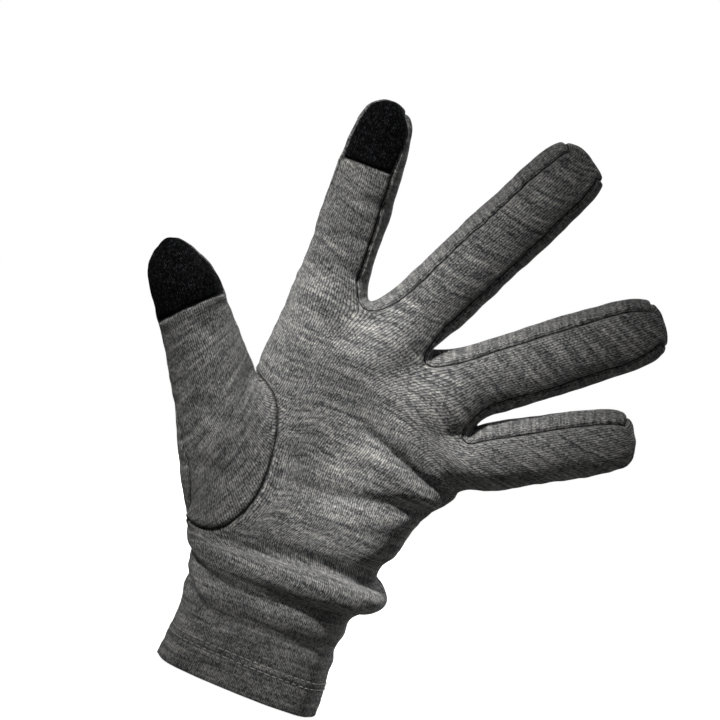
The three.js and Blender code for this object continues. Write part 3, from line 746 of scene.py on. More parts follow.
# Folds pushed together at the wrist, as heights in mm at angles round the cuff: 0 is the palm
# side, 90 the little finger's side. depth has its own value at each angle. left and top are the
# ends of the wrist in mm, and the values between the angles are evened over some steps in degrees.
wrist = {"left": -38, "top": 75, "step": 2.0, "evenOver": 4.5, "evenReach": 12}
wristFolds = [
    # the bulge at the thumb's side and the groove below it
    dict(angles=[-110, -88, -66, -40, 200], heights=[49, 49.5, 49, 47, 48],
         depths=[0.8, 1.7, 1.0, 0, 0], halfWidth=4.4, sharp=2),
    dict(angles=[-62, -42, -24, -8, 8, 28, 55, 85, 130, 180, 230],
         heights=[46, 46.6, 47.8, 49.2, 50.2, 50.8, 50.8, 52.6, 60, 57, 51],
         depths=[0, -2.2, -3.4, -3.6, -3.4, -3.0, -2.4, -1.0, -1.2, -1.6, -1.0], halfWidth=2.9, sharp=1.7),
    # the crease that runs into the roll at the little finger's side
    dict(angles=[-34, -12, 6, 24, 48, 72, 92, 125, 170, 230],
         heights=[51.2, 51.4, 52.2, 51.8, 50.6, 51.2, 54.2, 54, 51, 50],
         depths=[0, -0.2, -0.6, -1.4, -2.0, -1.6, -0.6, -0.7, 0, 0], halfWidth=2.2, sharp=1.5),
    dict(angles=[-66, -46, -16, 9, 37, 62, 85, 130, 180, 250],
         heights=[36, 37, 39, 41, 42.8, 44, 46.5, 47, 46, 40],
         depths=[0, 0.5, 1.1, 1.5, 1.9, 1.7, 0.2, 1.2, 1.5, 0.8], halfWidth=4.2, sharp=2),
    dict(angles=[-104, -84, -62, -42, -26, -8, 20, 250],
         heights=[37.4, 37, 35.4, 33.2, 31.8, 30.4, 29, 36.5],
         depths=[-1.2, -1.7, -1.4, -1.1, -0.9, -0.5, 0, -0.6], halfWidth=2.1, sharp=1.5),
    dict(angles=[-22, -4, 14, 38, 60, 90, 130, 180, 230],
         heights=[31.6, 32.6, 34.2, 36.8, 38.4, 39, 39, 38, 35],
         depths=[0, -0.7, -1.4, -1.7, -1.4, -0.4, -1.4, -1.8, -0.8], halfWidth=1.5, sharp=1.3),
    dict(angles=[-100, -64, -46, -34, -10, 200], heights=[30, 27.6, 24.4, 20.6, 18, 26],
         depths=[-0.3, -1.5, -1.7, -1.1, 0, 0], halfWidth=2.2, sharp=1.6),
    dict(angles=[-70, -40, -10, 20, 60, 110, 180, 240], heights=[24, 27, 28.6, 29, 30, 31, 29, 26],
         depths=[0.6, 1.1, 1.3, 1.2, 0.9, 1.0, 1.2, 0.6], halfWidth=3.4, sharp=2),
    dict(angles=[-30, 0, 30, 60, 100, 160, 220], heights=[22, 22.6, 22.4, 23, 24, 23, 21],
         depths=[0, -1.0, -1.3, -0.7, -0.6, -1.1, 0], halfWidth=2.4, sharp=1.9),
]


def spreadPath(path, count):
    xs = np.array([point[0] for point in path], float)
    zs = np.array([point[1] for point in path], float)
    reach = np.concatenate([[0], np.cumsum(np.hypot(np.diff(xs), np.diff(zs)))])
    steps = np.linspace(0, reach[-1], count)
    return np.stack([np.interp(steps, reach, xs), np.interp(steps, reach, zs)], 1)


def foldHeight(fold, spots):
    path = spreadPath(fold["path"], foldStyle["pathPoints"])
    best = np.full(len(spots), 1e9)
    share = np.zeros(len(spots))
    for i in range(len(path) - 1):
        line = path[i + 1] - path[i]
        t = np.clip(((spots - path[i]) @ line) / (line @ line), 0, 1)
        distance = np.linalg.norm(spots - path[i] - t[:, None] * line, axis=1)
        closer = distance < best
        best[closer] = distance[closer]
        share[closer] = ((i + t) / (len(path) - 1))[closer]
    first, last = fold.get("fade", foldStyle["fade"])
    ease = np.clip(np.minimum(share / first, (1 - share) / last), 0, 1)
    fade = foldStyle["least"] + (1 - foldStyle["least"]) * ease * ease * (3 - 2 * ease)
    return fold["depth"] * fade * np.exp(-(best / fold["halfWidth"]) ** fold["sharp"])


# A value given at a few angles, smooth and closed round the wrist
def roundWrist(angle, angles, values):
    spots = np.array(angles, float)
    table = np.array(values, float)
    wrapped = np.concatenate([spots - 360, spots, spots + 360])
    steps = np.arange(-200, 400, wrist["step"])
    line = np.interp(steps, wrapped, np.tile(table, 3))
    reach = wrist["evenReach"]
    kernel = np.exp(-0.5 * (np.arange(-reach, reach + 1) / wrist["evenOver"]) ** 2)
    smooth = np.convolve(np.pad(line, reach, mode="edge"), kernel / kernel.sum(), mode="valid")
    return np.interp(angle, steps, smooth)


def wristHeight(places):
    angle = np.degrees(np.arctan2(places[:, 0] / glove["cuffWidth"], -places[:, 1] / glove["cuffDepth"]))
    height = np.zeros(len(places))
    for fold in wristFolds:
        middle = roundWrist(angle, fold["angles"], fold["heights"])
        depth = roundWrist(angle, fold["angles"], fold["depths"])
        away = np.abs(places[:, 2] - middle) / fold["halfWidth"]
        height += depth * np.exp(-away ** fold["sharp"])
    body = (places[:, 0] > wrist["left"]) & (places[:, 2] < wrist["top"])
    return np.where(body, height, 0)


# Soft unevenness of the whole glove: the size of its waves and their height in mm
unevenness = [dict(size=15, height=0.16, seed=3), dict(size=7, height=0.1, seed=4)]


# Plane waves of about one size in mm, from -1 to 1
def softNoise(places, size, seed, waves=14):
    chance = np.random.default_rng(seed)
    total = np.zeros(len(places))
    for i in range(waves):
        way = chance.normal(size=3)
        way *= 2 * math.pi / (size * chance.uniform(0.75, 1.4)) / np.linalg.norm(way)
        total += np.cos(places @ way + chance.uniform(0, 2 * math.pi))
    return total / math.sqrt(waves)


def reliefAt(places, normals):
    facing = dict(front=np.maximum(0, -normals[:, 1]), back=np.maximum(0, normals[:, 1]))
    height = np.zeros(len(places))
    spots = places[:, [0, 2]]
    for swell in swells:
        middleX, middleZ = handSpot(swell)
        x = (spots[:, 0] - middleX) / (swell["acrossX"] * glove["handWidth"])
        z = (spots[:, 1] - middleZ) / (swell["acrossZ"] * glove["palmLength"])
        height += facing[swell["side"]] * swell["depth"] * glove["palmDepth"] * np.exp(-(x * x + z * z))
    for fold in folds:
        height += facing[fold["side"]] ** foldStyle["facing"] * foldHeight(fold, spots)
    height += wristHeight(places)
    for dent in dents:
        away = np.linalg.norm(places - np.array(dent["at"]), axis=1) / dent["reach"]
        height += dent["depth"] * np.exp(-away ** 2)
    height += sum(row["height"] * softNoise(places, row["size"], row["seed"]) for row in unevenness)
    return height


normals = pointNormals(places, quads)
places = places + normals * reliefAt(places, normals)[:, None]
normals = pointNormals(places, quads)


# Seams: the cloth turns in where two panels are sewn, rolls up beside it and puckers a little
seams = {
    "depth": 0.85, "halfWidth": 0.6, "gap": 0.1, "shadeWidth": 0.42,
    "roll": 0.16, "rollAway": 1.7, "rollHalfWidth": 1.1,
    "pucker": 0.12, "puckerSize": 4.5, "puckerReach": 3, "puckerSeed": 9,
}
# The hem at the wrist: turned in and sewn round with two rows, each with a line of painted shade in its
# groove
hem = {"height": 12, "extra": 0.35, "rows": [9.4, 11.6], "rowDepth": 0.34, "rowHalfWidth": 0.5,
       "paintedRowShade": 0.5, "edgeSharp": 4}
seamEdges = seamPairs(lambda a, b: a != b)
seamPoints = np.unique(seamEdges)
seamTree = treeOf(places[seamPoints])
seamDistance = np.array([seamTree.find(place)[2] for place in places])
shape = -seams["depth"] * np.exp(-(seamDistance / seams["halfWidth"]) ** 2)
shape += seams["roll"] * np.exp(-((seamDistance - seams["rollAway"]) / seams["rollHalfWidth"]) ** 2)
shape += (seams["pucker"] * softNoise(places, seams["puckerSize"], seams["puckerSeed"])
          * np.exp(-(seamDistance / seams["puckerReach"]) ** 2))
shape += hem["extra"] / (1 + np.exp((places[:, 2] - hem["height"]) * hem["edgeSharp"]))
for row in hem["rows"]:
    shape -= hem["rowDepth"] * np.exp(-((places[:, 2] - row) / hem["rowHalfWidth"]) ** 2)
places = places + normals * shape[:, None]
normals = pointNormals(places, quads)
# how deep each point lies in a seam or a hem row: painted shade, darkening the cloth's colour there
paintedSeamShade = np.exp(-(seamDistance / seams["shadeWidth"]) ** 2)
for row in hem["rows"]:
    near = np.exp(-((places[:, 2] - row) / hem["rowHalfWidth"]) ** 2)
    paintedSeamShade = np.maximum(paintedSeamShade, hem["paintedRowShade"] * near)
print("folds and seams shaped")


# A panel as a closed wall: fine outer face, plainer inner face, and a rounded edge between them
wall = {"thickness": 1.15, "edgeRows": 3, "hemRound": 0.55}


def addObject(name, data):
    item = bpy.data.objects.new(name, data)
    bpy.context.scene.collection.objects.link(item)
    return item


def panelMesh(name):
    number = panels.index(name)
    mine = panelOf == number
    outerQuads = quads[mine]
    outerCloth = clothQuads[mine]
    coarseMine = np.repeat(netPanel, 4 ** (glove["fineSteps"] - 1)) == number
    coarse = levels[-2][1][coarseMine]
    coarseCloth = clothLevels[-2][1][coarseMine]
    used, local = np.unique(outerQuads, return_inverse=True)
    local = local.reshape(-1, 4)
    outer = places[used].copy()
    bend = normals[used]
    edgeSides, edgeUses = edgesOf(local)[1:]
    directed = local[:, aroundQuad].reshape(-1, 2)
    rimMask = edgeUses[edgeSides.ravel()] == 1
    rim = directed[rimMask]
    rimCloth = outerCloth[:, aroundQuad].reshape(-1, 2)[rimMask]
    after = dict(zip(rim[:, 0].tolist(), rim[:, 1].tolist()))
    # pull the edge in a little where it meets another panel
    centres = outer[local].mean(1)
    besides = gather(local.ravel(), np.repeat(centres, 4, 0), len(outer))
    count = np.bincount(local.ravel(), minlength=len(outer))[:, None]
    rimPoints = np.unique(rim)
    inward = besides[rimPoints] / count[rimPoints] - outer[rimPoints]
    inward /= np.maximum(np.linalg.norm(inward, axis=1, keepdims=True), 1e-9)
    atHem = ~np.isin(used[rimPoints], seamPoints)
    outer[rimPoints] += inward * np.where(atHem, 0, seams["gap"])[:, None]
    outwardOf = dict(zip(rimPoints.tolist(), -inward * atHem[:, None]))
    innerUsed = np.unique(coarse)
    innerLocal = np.searchsorted(used, innerUsed)
    inner = outer[innerLocal] - bend[innerLocal] * wall["thickness"]
    innerIndex = dict(zip(innerUsed.tolist(), range(len(outer), len(outer) + len(innerUsed))))
    verts = [outer, inner]
    total = len(outer) + len(inner)
    polygons = [local.tolist()]
    texture = [clothPlaces[outerCloth].reshape(-1, 2)]
    flipped = np.array([[innerIndex[corner] for corner in quad] for quad in coarse.tolist()])[:, ::-1]
    polygons.append(flipped.tolist())
    texture.append(clothPlaces[coarseCloth][:, ::-1].reshape(-1, 2))
    # edge rows
    rows = wall["edgeRows"]
    rimRow = {}
    extra = []
    for point in rimPoints.tolist():
        start = outer[point]
        end = start - bend[point] * wall["thickness"]
        out = outwardOf[point] * wall["hemRound"]
        rimRow[point] = [point]
        for i in range(1, rows + 1):
            share = i / (rows + 1)
            extra.append(lerp(start, end, share) + out * math.sin(math.pi * share))
            rimRow[point].append(total)
            total += 1
    verts.append(np.array(extra))
    sideTexture = []
    sidePolygons = []
    coarsePoint = {int(a): innerIndex[int(used[a])] for a in rimPoints if int(used[a]) in innerIndex}
    for (a, b), (clothA, clothB) in zip(rim.tolist(), rimCloth.tolist()):
        for i in range(rows):
            sidePolygons.append([rimRow[a][i], rimRow[a][i + 1], rimRow[b][i + 1], rimRow[b][i]])
            sideTexture += [clothPlaces[clothA]] * 2 + [clothPlaces[clothB]] * 2
        if a in coarsePoint:
            sidePolygons.append([rimRow[a][rows], coarsePoint[a], rimRow[b][rows]])
            sideTexture += [clothPlaces[clothA], clothPlaces[clothA], clothPlaces[clothB]]
            c = after[b]
            sidePolygons.append([rimRow[b][rows], coarsePoint[a], coarsePoint[c]])
            sideTexture += [clothPlaces[clothB], clothPlaces[clothA], clothPlaces[clothB]]
        else:
            sidePolygons.append([rimRow[a][rows], coarsePoint[b], rimRow[b][rows]])
            sideTexture += [clothPlaces[clothA], clothPlaces[clothB], clothPlaces[clothB]]
    polygons.append(sidePolygons)
    texture.append(np.array(sideTexture))
    allPolygons = [polygon for group in polygons for polygon in group]
    mesh = bpy.data.meshes.new(name + "_cloth")
    mesh.from_pydata((np.concatenate(verts) * mm).tolist(), [], allPolygons)
    shade = np.zeros(total)
    shade[:len(used)] = paintedSeamShade[used]
    mesh.attributes.new("paintedSeamShade", "FLOAT", "POINT").data.foreach_set("value", shade)
    layer = mesh.uv_layers.new(name="cloth")
    layer.data.foreach_set("uv", np.concatenate(texture).astype(np.float32).ravel())
    mesh.polygons.foreach_set("use_smooth", [True] * len(mesh.polygons))
    mesh.update()
    return addObject(name + "_cloth", mesh)


# Adds a node with its settings and links. An input takes a number, a socket or a node, whose first
# output is then used.
def addNode(tree, kind, settings=None, inputs=None):
    node = tree.nodes.new(kind)
    for name, value in (settings or {}).items():
        setattr(node, name, value)
    for name, value in (inputs or {}).items():
        if isinstance(value, bpy.types.Node):
            value = value.outputs[0]
        if isinstance(value, bpy.types.NodeSocket):
            tree.links.new(value, node.inputs[name])
        else:
            node.inputs[name].default_value = value
    return node


def newMaterial(name):
    material = bpy.data.materials.new(name)
    material.use_nodes = True
    material.node_tree.nodes.clear()
    return material


def linear(hexColour):
    parts = [int(hexColour[i:i + 2], 16) / 255 for i in (1, 3, 5)]
    return [part / 12.92 if part <= 0.04045 else ((part + 0.055) / 1.055) ** 2.4 for part in parts] + [1]


# Single jersey knit: wale and course are the size of one stitch in mm, some 12 wales and 17 courses
# to the centimetre for the grey and 16 and 20 for the black. Cotton and polyester fibres of several
# greys are mixed in the yarn, so single stitches differ, yarns change slowly along a course and
# light or dark streaks run across the wales. The cloth is matt, with a faint fuzz.
# Both looks paint shade into the colour: darker in the gaps between the wales and in the seams
heatherJersey = {
    "wale": 0.8, "course": 0.6,
    "tones": [(0.0, "#1d1f22"), (0.3, "#525355"), (0.5, "#808182"), (0.7, "#a6a5a3"), (1.0, "#e6e3dd")],
    "stitchMix": 0.46, "yarnMix": 0.2, "streakMix": 0.46, "fleckMix": 0.14,
    "paintedGapShade": 0.8, "paintedSeamShade": 0.8, "roughness": 0.9, "sheen": 0.15, "specular": 0.12,
}
touchJersey = {
    "wale": 0.62, "course": 0.5,
    "tones": [(0.0, "#010102"), (0.35, "#09090a"), (0.58, "#131416"), (0.8, "#232427"), (1.0, "#3d3e42")],
    "stitchMix": 0.8, "yarnMix": 0.4, "streakMix": 0.1, "fleckMix": 0.1,
    "paintedGapShade": 0.6, "paintedSeamShade": 0.6, "roughness": 0.8, "sheen": 0.0, "specular": 0.05,
}
# What both have in common. wobble, yarn, streak and fleck are noises: size in mm across the wales
# and along them, seed and detail. A yarn's size along is in courses.
knit = {
    "wobble": (9, 9, 3), "wobbleBy": 1.4, "noiseRoughness": 0.6,
    "yarn": (4.5, 0.37, 11, 2), "streak": (22, 1.5, 23, 2), "fleck": (1.1, 0.4, 31, 2),
    "slant": -1.3,                               # rise of a stitch's two legs, in courses
    "legSpot": 0.9, "legSharp": 2.2,             # where a leg lies in its half wale, how round it is
    "loopSharp": 2.5, "loopLow": 0.45,           # how a leg sinks at both ends of its course
    "gapFrom": 0.26, "gapTo": 0.47,              # the gap between two wales, in shares of a wale
    "bump": 0.8, "stitchHeight": 0.22,           # mm
    "sheenRoughness": 0.5,
}


# Noise between 0 and 1 over the flat cloth; sizes in mm across and along the wales
def clothNoise(tree, across, along, acrossSize, alongSize, seed, detail=1):
    x = addNode(tree, "ShaderNodeMath", {"operation": "DIVIDE"}, {0: across, 1: acrossSize})
    y = addNode(tree, "ShaderNodeMath", {"operation": "DIVIDE"}, {0: along, 1: alongSize})
    vector = addNode(tree, "ShaderNodeCombineXYZ", None, {"X": x, "Y": y, "Z": seed})
    return addNode(tree, "ShaderNodeTexNoise", {"noise_dimensions": "3D"}, {
        "Vector": vector, "Scale": 1, "Detail": detail, "Roughness": knit["noiseRoughness"],
    })


def jerseyMaterial(name, look):
    material = newMaterial(name)
    tree = material.node_tree
    place = addNode(tree, "ShaderNodeUVMap", {"uv_map": "cloth"})
    split = addNode(tree, "ShaderNodeSeparateXYZ", None, {"Vector": place})
    even, along = split.outputs[0], split.outputs[1]
    wobble = clothNoise(tree, even, along, *knit["wobble"])
    across = addNode(tree, "ShaderNodeMath", {"operation": "MULTIPLY_ADD"},
                     {0: wobble, 1: knit["wobbleBy"], 2: even})
    wale = addNode(tree, "ShaderNodeMath", {"operation": "DIVIDE"}, {0: across, 1: look["wale"]})
    inWale = addNode(tree, "ShaderNodeMath", {"operation": "FRACT"}, {0: wale})
    offMiddle = addNode(tree, "ShaderNodeMath", {"operation": "SUBTRACT"}, {0: inWale, 1: 0.5})
    half = addNode(tree, "ShaderNodeMath", {"operation": "ABSOLUTE"}, {0: offMiddle})
    level = addNode(tree, "ShaderNodeMath", {"operation": "DIVIDE"}, {0: along, 1: look["course"]})
    course = addNode(tree, "ShaderNodeMath", {"operation": "MULTIPLY_ADD"},
                     {0: half, 1: knit["slant"], 2: level})

    # Each stitch has its own shade
    legs = addNode(tree, "ShaderNodeMath", {"operation": "MULTIPLY"}, {0: wale, 1: 2})
    legNumber = addNode(tree, "ShaderNodeMath", {"operation": "FLOOR"}, {0: legs})
    courseNumber = addNode(tree, "ShaderNodeMath", {"operation": "FLOOR"}, {0: course})
    cell = addNode(tree, "ShaderNodeCombineXYZ", None, {"X": legNumber, "Y": courseNumber})
    stitch = addNode(tree, "ShaderNodeTexWhiteNoise", {"noise_dimensions": "2D"}, {"Vector": cell})
    yarn = clothNoise(tree, across, courseNumber, *knit["yarn"])
    streak = clothNoise(tree, across, along, *knit["streak"])
    fleck = clothNoise(tree, across, along, *knit["fleck"])
    shade = 0.5
    for part, amount in ((stitch, look["stitchMix"]), (yarn, look["yarnMix"] * 2),
                         (streak, look["streakMix"] * 2), (fleck, look["fleckMix"] * 2)):
        centred = addNode(tree, "ShaderNodeMath", {"operation": "SUBTRACT"}, {0: part, 1: 0.5})
        shade = addNode(tree, "ShaderNodeMath", {"operation": "MULTIPLY_ADD"},
                        {0: centred, 1: amount, 2: shade})
    tones = addNode(tree, "ShaderNodeValToRGB", None, {"Fac": shade})
    ramp = tones.color_ramp
    for i, (spot, colour) in enumerate(look["tones"]):
        stop = ramp.elements[i] if i < 2 else ramp.elements.new(spot)
        stop.position = spot
        stop.color = linear(colour)

    # Two slanting legs a stitch, with a deep gap between the wales
    legPlace = addNode(tree, "ShaderNodeMath", {"operation": "MULTIPLY_ADD"},
                       {0: half, 1: 4, 2: -knit["legSpot"]})
    legAway = addNode(tree, "ShaderNodeMath", {"operation": "ABSOLUTE"}, {0: legPlace})
    legFall = addNode(tree, "ShaderNodeMath", {"operation": "POWER"}, {0: legAway, 1: knit["legSharp"]})
    leg = addNode(tree, "ShaderNodeMath", {"operation": "SUBTRACT"}, {0: 1, 1: legFall})
    inCourse = addNode(tree, "ShaderNodeMath", {"operation": "FRACT"}, {0: course})
    loopPlace = addNode(tree, "ShaderNodeMath", {"operation": "MULTIPLY_ADD"}, {0: inCourse, 1: 2, 2: -1})
    loopAway = addNode(tree, "ShaderNodeMath", {"operation": "ABSOLUTE"}, {0: loopPlace})
    loopFall = addNode(tree, "ShaderNodeMath", {"operation": "POWER"}, {0: loopAway, 1: knit["loopSharp"]})
    loop = addNode(tree, "ShaderNodeMath", {"operation": "SUBTRACT"}, {0: 1, 1: loopFall})
    rise = addNode(tree, "ShaderNodeMath", {"operation": "MULTIPLY_ADD"},
                   {0: loop, 1: 1 - knit["loopLow"], 2: knit["loopLow"]})
    height = addNode(tree, "ShaderNodeMath", {"operation": "MULTIPLY"}, {0: leg, 1: rise})

    # Painted shade: the gaps between the wales and the seams are darkened in the colour, because less light
    # gets in there
    clear = addNode(tree, "ShaderNodeMapRange", {"interpolation_type": "SMOOTHSTEP"}, {
        "Value": half, "From Min": knit["gapFrom"], "From Max": knit["gapTo"],
        "To Min": 1, "To Max": 1 - look["paintedGapShade"],
    })
    # painted shade in the seams and hem rows, read from the mesh
    paintedSeamDepth = addNode(tree, "ShaderNodeAttribute", {"attribute_name": "paintedSeamShade"})
    seamShadeMultiplier = addNode(tree, "ShaderNodeMath", {"operation": "MULTIPLY_ADD"},
                     {0: paintedSeamDepth.outputs["Fac"], 1: -look["paintedSeamShade"], 2: 1})
    dark = addNode(tree, "ShaderNodeMath", {"operation": "MULTIPLY"}, {0: clear, 1: seamShadeMultiplier})
    grey = addNode(tree, "ShaderNodeCombineColor", None, {"Red": dark, "Green": dark, "Blue": dark})
    shaded = addNode(tree, "ShaderNodeMix", {"data_type": "RGBA", "blend_type": "MULTIPLY"},
                     {0: 1, 6: tones, 7: grey})
    bump = addNode(tree, "ShaderNodeBump", None, {
        "Height": height, "Strength": knit["bump"], "Distance": knit["stitchHeight"] * mm,
    })
    shader = addNode(tree, "ShaderNodeBsdfPrincipled", None, {
        "Base Color": shaded.outputs[2], "Roughness": look["roughness"], "Normal": bump,
        "Sheen Weight": look["sheen"], "Sheen Roughness": knit["sheenRoughness"],
        "Specular IOR Level": look["specular"],
    })
    addNode(tree, "ShaderNodeOutputMaterial", None, {"Surface": shader})
    return material


greyCloth = jerseyMaterial("heather jersey", heatherJersey)
blackCloth = jerseyMaterial("black touch jersey", touchJersey)
for name in panels:
    piece = panelMesh(name)
    piece.data.materials.append(blackCloth if name.endswith("_tip") else greyCloth)
    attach(piece, "root")
    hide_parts(name)
    print("panel", name, len(piece.data.polygons), "faces")


# Threads: one mesh of short stitches along each kind of seam
stitching = {
    "seam": {"pitch": 2.2, "length": 1.5, "thick": 0.2, "rise": 0.12},
    "hem": {"pitch": 2.6, "length": 2.0, "thick": 0.42, "rise": 0.26},
    "shortest": 0.85, "longest": 1.12, "seed": 5,      # shares of the length that stitches vary by
    "sides": 8, "rings": 6,                            # faces of one stitch
    "rowPoints": 160, "rowBand": 0.45,                 # a hem row's points, and the cloth it follows
}
# Spun polyester thread: matt, with a fine twist of some 0.11 mm that breaks the light. twistScale
# counts it to the metre, twistDepth is in mm.
thread = {"twistScale": 9000, "twist": 0.5, "twistDepth": 0.05, "roughness": 0.6, "sheen": 0.1}


def threadMaterial(name, colour):
    material = newMaterial(name)
    tree = material.node_tree
    place = addNode(tree, "ShaderNodeTexCoord")
    twist = addNode(tree, "ShaderNodeTexNoise", None, {
        "Vector": place.outputs["Object"], "Scale": thread["twistScale"], "Detail": 1,
    })
    bump = addNode(tree, "ShaderNodeBump", None, {
        "Height": twist, "Strength": thread["twist"], "Distance": thread["twistDepth"] * mm,
    })
    shader = addNode(tree, "ShaderNodeBsdfPrincipled", None, {
        "Base Color": linear(colour), "Roughness": thread["roughness"], "Normal": bump,
        "Sheen Weight": thread["sheen"],
    })
    addNode(tree, "ShaderNodeOutputMaterial", None, {"Surface": shader})
    return material


def stitchRows(name, spots, pairs, sizes, material):
    mesh = bpy.data.meshes.new(name)
    mesh.from_pydata((spots * mm).tolist(), pairs, [])
    piece = addObject(name, mesh)
    tree = bpy.data.node_groups.new(name, "GeometryNodeTree")
    tree.interface.new_socket("Rows", in_out="INPUT", socket_type="NodeSocketGeometry")
    named = {"Pitch": sizes["pitch"], "Stitch length": sizes["length"], "Thread width": sizes["thick"]}
    sockets = {word: tree.interface.new_socket(word, in_out="INPUT", socket_type="NodeSocketFloat")
               for word in named}
    tree.interface.new_socket("Stitches", in_out="OUTPUT", socket_type="NodeSocketGeometry")
    given = addNode(tree, "NodeGroupInput")
    curve = addNode(tree, "GeometryNodeMeshToCurve", None, {"Mesh": given.outputs["Rows"]})
    even = addNode(tree, "GeometryNodeResampleCurve", {"mode": "LENGTH"}, {
        "Curve": curve, "Length": given.outputs["Pitch"],
    })
    ball = addNode(tree, "GeometryNodeMeshUVSphere", None, {
        "Segments": stitching["sides"], "Rings": stitching["rings"], "Radius": 0.5,
    })
    tangent = addNode(tree, "GeometryNodeInputTangent")
    turn = addNode(tree, "FunctionNodeAlignRotationToVector", {"axis": "Z"}, {"Vector": tangent})
    vary = addNode(tree, "FunctionNodeRandomValue", {"data_type": "FLOAT"},
                   {2: stitching["shortest"], 3: stitching["longest"], "Seed": stitching["seed"]})
    long = addNode(tree, "ShaderNodeMath", {"operation": "MULTIPLY"},
                   {0: given.outputs["Stitch length"], 1: vary.outputs[1]})
    scale = addNode(tree, "ShaderNodeCombineXYZ", None, {
        "X": given.outputs["Thread width"], "Y": given.outputs["Thread width"], "Z": long,
    })
    row = addNode(tree, "GeometryNodeInstanceOnPoints", None, {
        "Points": even, "Instance": ball, "Rotation": turn, "Scale": scale,
    })
    real = addNode(tree, "GeometryNodeRealizeInstances", None, {"Geometry": row})
    dyed = addNode(tree, "GeometryNodeSetMaterial", None, {"Geometry": real, "Material": material})
    addNode(tree, "NodeGroupOutput", None, {"Stitches": dyed})
    maker = piece.modifiers.new("stitches", "NODES")
    maker.node_group = tree
    for word, size in named.items():
        maker[sockets[word].identifier] = size * mm
    graph = bpy.context.evaluated_depsgraph_get()
    made = bpy.data.meshes.new_from_object(piece.evaluated_get(graph))
    piece.modifiers.clear()
    piece.data = made
    made.polygons.foreach_set("use_smooth", [True] * len(made.polygons))
    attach(piece, "root")
    print("stitches", name, len(made.polygons), "faces")
    return piece


seamThread = threadMaterial("dark polyester thread", "#3a3b3d")
hemThread = threadMaterial("grey polyester thread", "#a5a5a3")
seamNumber = {int(point): i for i, point in enumerate(seamPoints)}
seamSpots = places[seamPoints] + normals[seamPoints] * stitching["seam"]["rise"]
seamLinks = [(seamNumber[a], seamNumber[b]) for a, b in seamEdges.tolist()]
stitchRows("seam_stitches", seamSpots, seamLinks, stitching["seam"], seamThread)


def hemRow(height):
    near = np.nonzero(np.abs(places[:, 2] - height) < stitching["rowBand"])[0]
    angle = np.arctan2(places[near, 0], -places[near, 1])
    order = near[np.argsort(angle)]
    angle = np.sort(angle)
    steps = np.linspace(-math.pi, math.pi, stitching["rowPoints"], endpoint=False)
    line = places[order] + normals[order] * stitching["hem"]["rise"]
    spots = [np.interp(steps, angle, line[:, i], period=2 * math.pi) for i in range(2)]
    return np.stack([*spots, np.full(len(steps), height)], 1)


hemSpots = np.concatenate([hemRow(height) for height in hem["rows"]])
hemCount = stitching["rowPoints"]
hemLinks = [(row * hemCount + i, row * hemCount + (i + 1) % hemCount)
            for row in range(len(hem["rows"])) for i in range(hemCount)]
stitchRows("hem_stitches", hemSpots, hemLinks, stitching["hem"], hemThread)


# Pale floor, soft light and the camera. The floor and the world look white, but throw back less
# light than they show, so that the studio light gives the shape.
stageSizes = {
    "floorSize": 12, "floorHeight": -0.001, "floorColour": "#f6f6f4", "floorGlow": 0.88,
    "bounceColour": "#8a8a88", "ambient": 0.14,
}
camera = {"target": (-0.0028, 0, 0.1208), "distance": 0.9, "roll": 22, "field": 0.252, "sensor": 36}
lights = [
    dict(name="key", place=(-0.36, -0.4, 0.62), target=(0.026, 0, 0.082), size=0.12, power=0.094,
         colour="#fffefa", spread=14),
    dict(name="back fill", place=(0.3, 0.95, 0.5), target=(0, 0, 0.11), size=0.8, power=10,
         colour="#ffffff", spread=180),
]


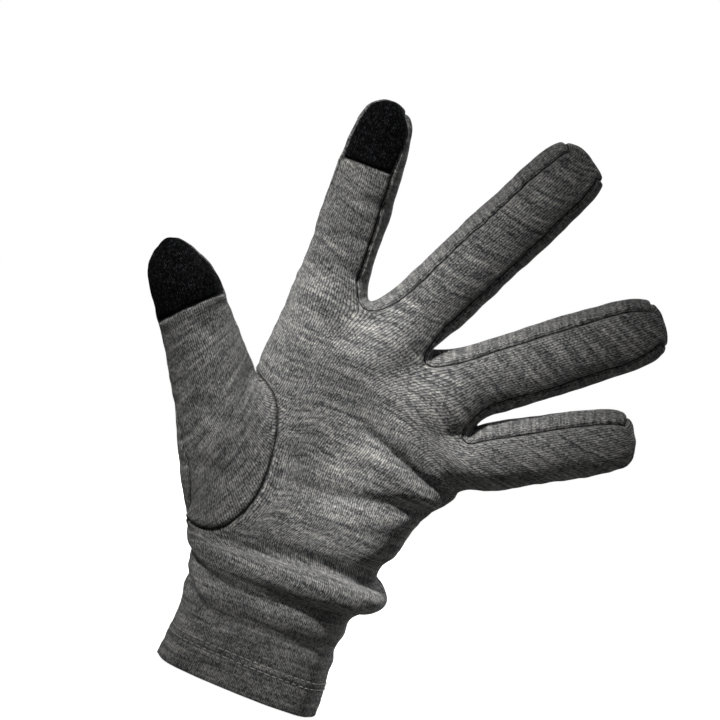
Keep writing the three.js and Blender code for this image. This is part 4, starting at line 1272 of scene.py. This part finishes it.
def makeFloor():
    half = stageSizes["floorSize"] / 2
    z = stageSizes["floorHeight"]
    mesh = bpy.data.meshes.new("floor")
    corners = [(-half, -half, z), (half, -half, z), (half, half, z), (-half, half, z)]
    mesh.from_pydata(corners, [], [(0, 1, 2, 3)])
    floor = addObject("floor", mesh)
    paint = newMaterial("pale floor paint")
    tree = paint.node_tree
    seen = addNode(tree, "ShaderNodeBsdfDiffuse", None, {"Color": linear(stageSizes["floorColour"])})
    glow = addNode(tree, "ShaderNodeEmission", None, {"Strength": stageSizes["floorGlow"]})
    both = addNode(tree, "ShaderNodeAddShader", None, {0: seen, 1: glow})
    bounce = addNode(tree, "ShaderNodeBsdfDiffuse", None, {"Color": linear(stageSizes["bounceColour"])})
    path = addNode(tree, "ShaderNodeLightPath")
    choice = addNode(tree, "ShaderNodeMixShader", None,
                     {0: path.outputs["Is Camera Ray"], 1: bounce, 2: both})
    addNode(tree, "ShaderNodeOutputMaterial", None, {"Surface": choice})
    mesh.materials.append(paint)


def makeLight(name, place, target, size, power, colour, spread):
    data = bpy.data.lights.new(name, "AREA")
    data.shape = "DISK"
    data.size = size
    data.energy = power
    data.color = linear(colour)[:3]
    data.spread = math.radians(spread)
    lamp = addObject(name, data)
    lamp.location = place
    lamp.rotation_euler = (Vector(target) - Vector(place)).to_track_quat("-Z", "Y").to_euler()


def makeCamera():
    data = bpy.data.cameras.new("camera")
    data.sensor_width = camera["sensor"]
    data.lens = camera["sensor"] * camera["distance"] / camera["field"]
    view = addObject("camera", data)
    roll = math.radians(camera["roll"])
    right = Vector((math.cos(roll), 0, math.sin(roll)))
    up = Vector((-math.sin(roll), 0, math.cos(roll)))
    back = Vector((0, -1, 0))
    place = Vector(camera["target"]) + back * camera["distance"]
    turn = Matrix((right, up, back)).transposed().to_4x4()
    view.matrix_world = Matrix.Translation(place) @ turn
    bpy.context.scene.camera = view


def makeWorld():
    world = bpy.data.worlds.new("studio")
    bpy.context.scene.world = world
    world.use_nodes = True
    tree = world.node_tree
    tree.nodes.clear()
    path = addNode(tree, "ShaderNodeLightPath")
    strength = addNode(tree, "ShaderNodeMath", {"operation": "MULTIPLY_ADD"}, {
        0: path.outputs["Is Camera Ray"], 1: 1 - stageSizes["ambient"], 2: stageSizes["ambient"],
    })
    sky = addNode(tree, "ShaderNodeBackground", None, {"Color": (1, 1, 1, 1), "Strength": strength})
    addNode(tree, "ShaderNodeOutputWorld", None, {"Surface": sky})


makeFloor()
makeWorld()
makeCamera()
for light in lights:
    makeLight(**light)
bpy.context.scene.view_settings.view_transform = "Standard"
print("floor, lights and camera set")
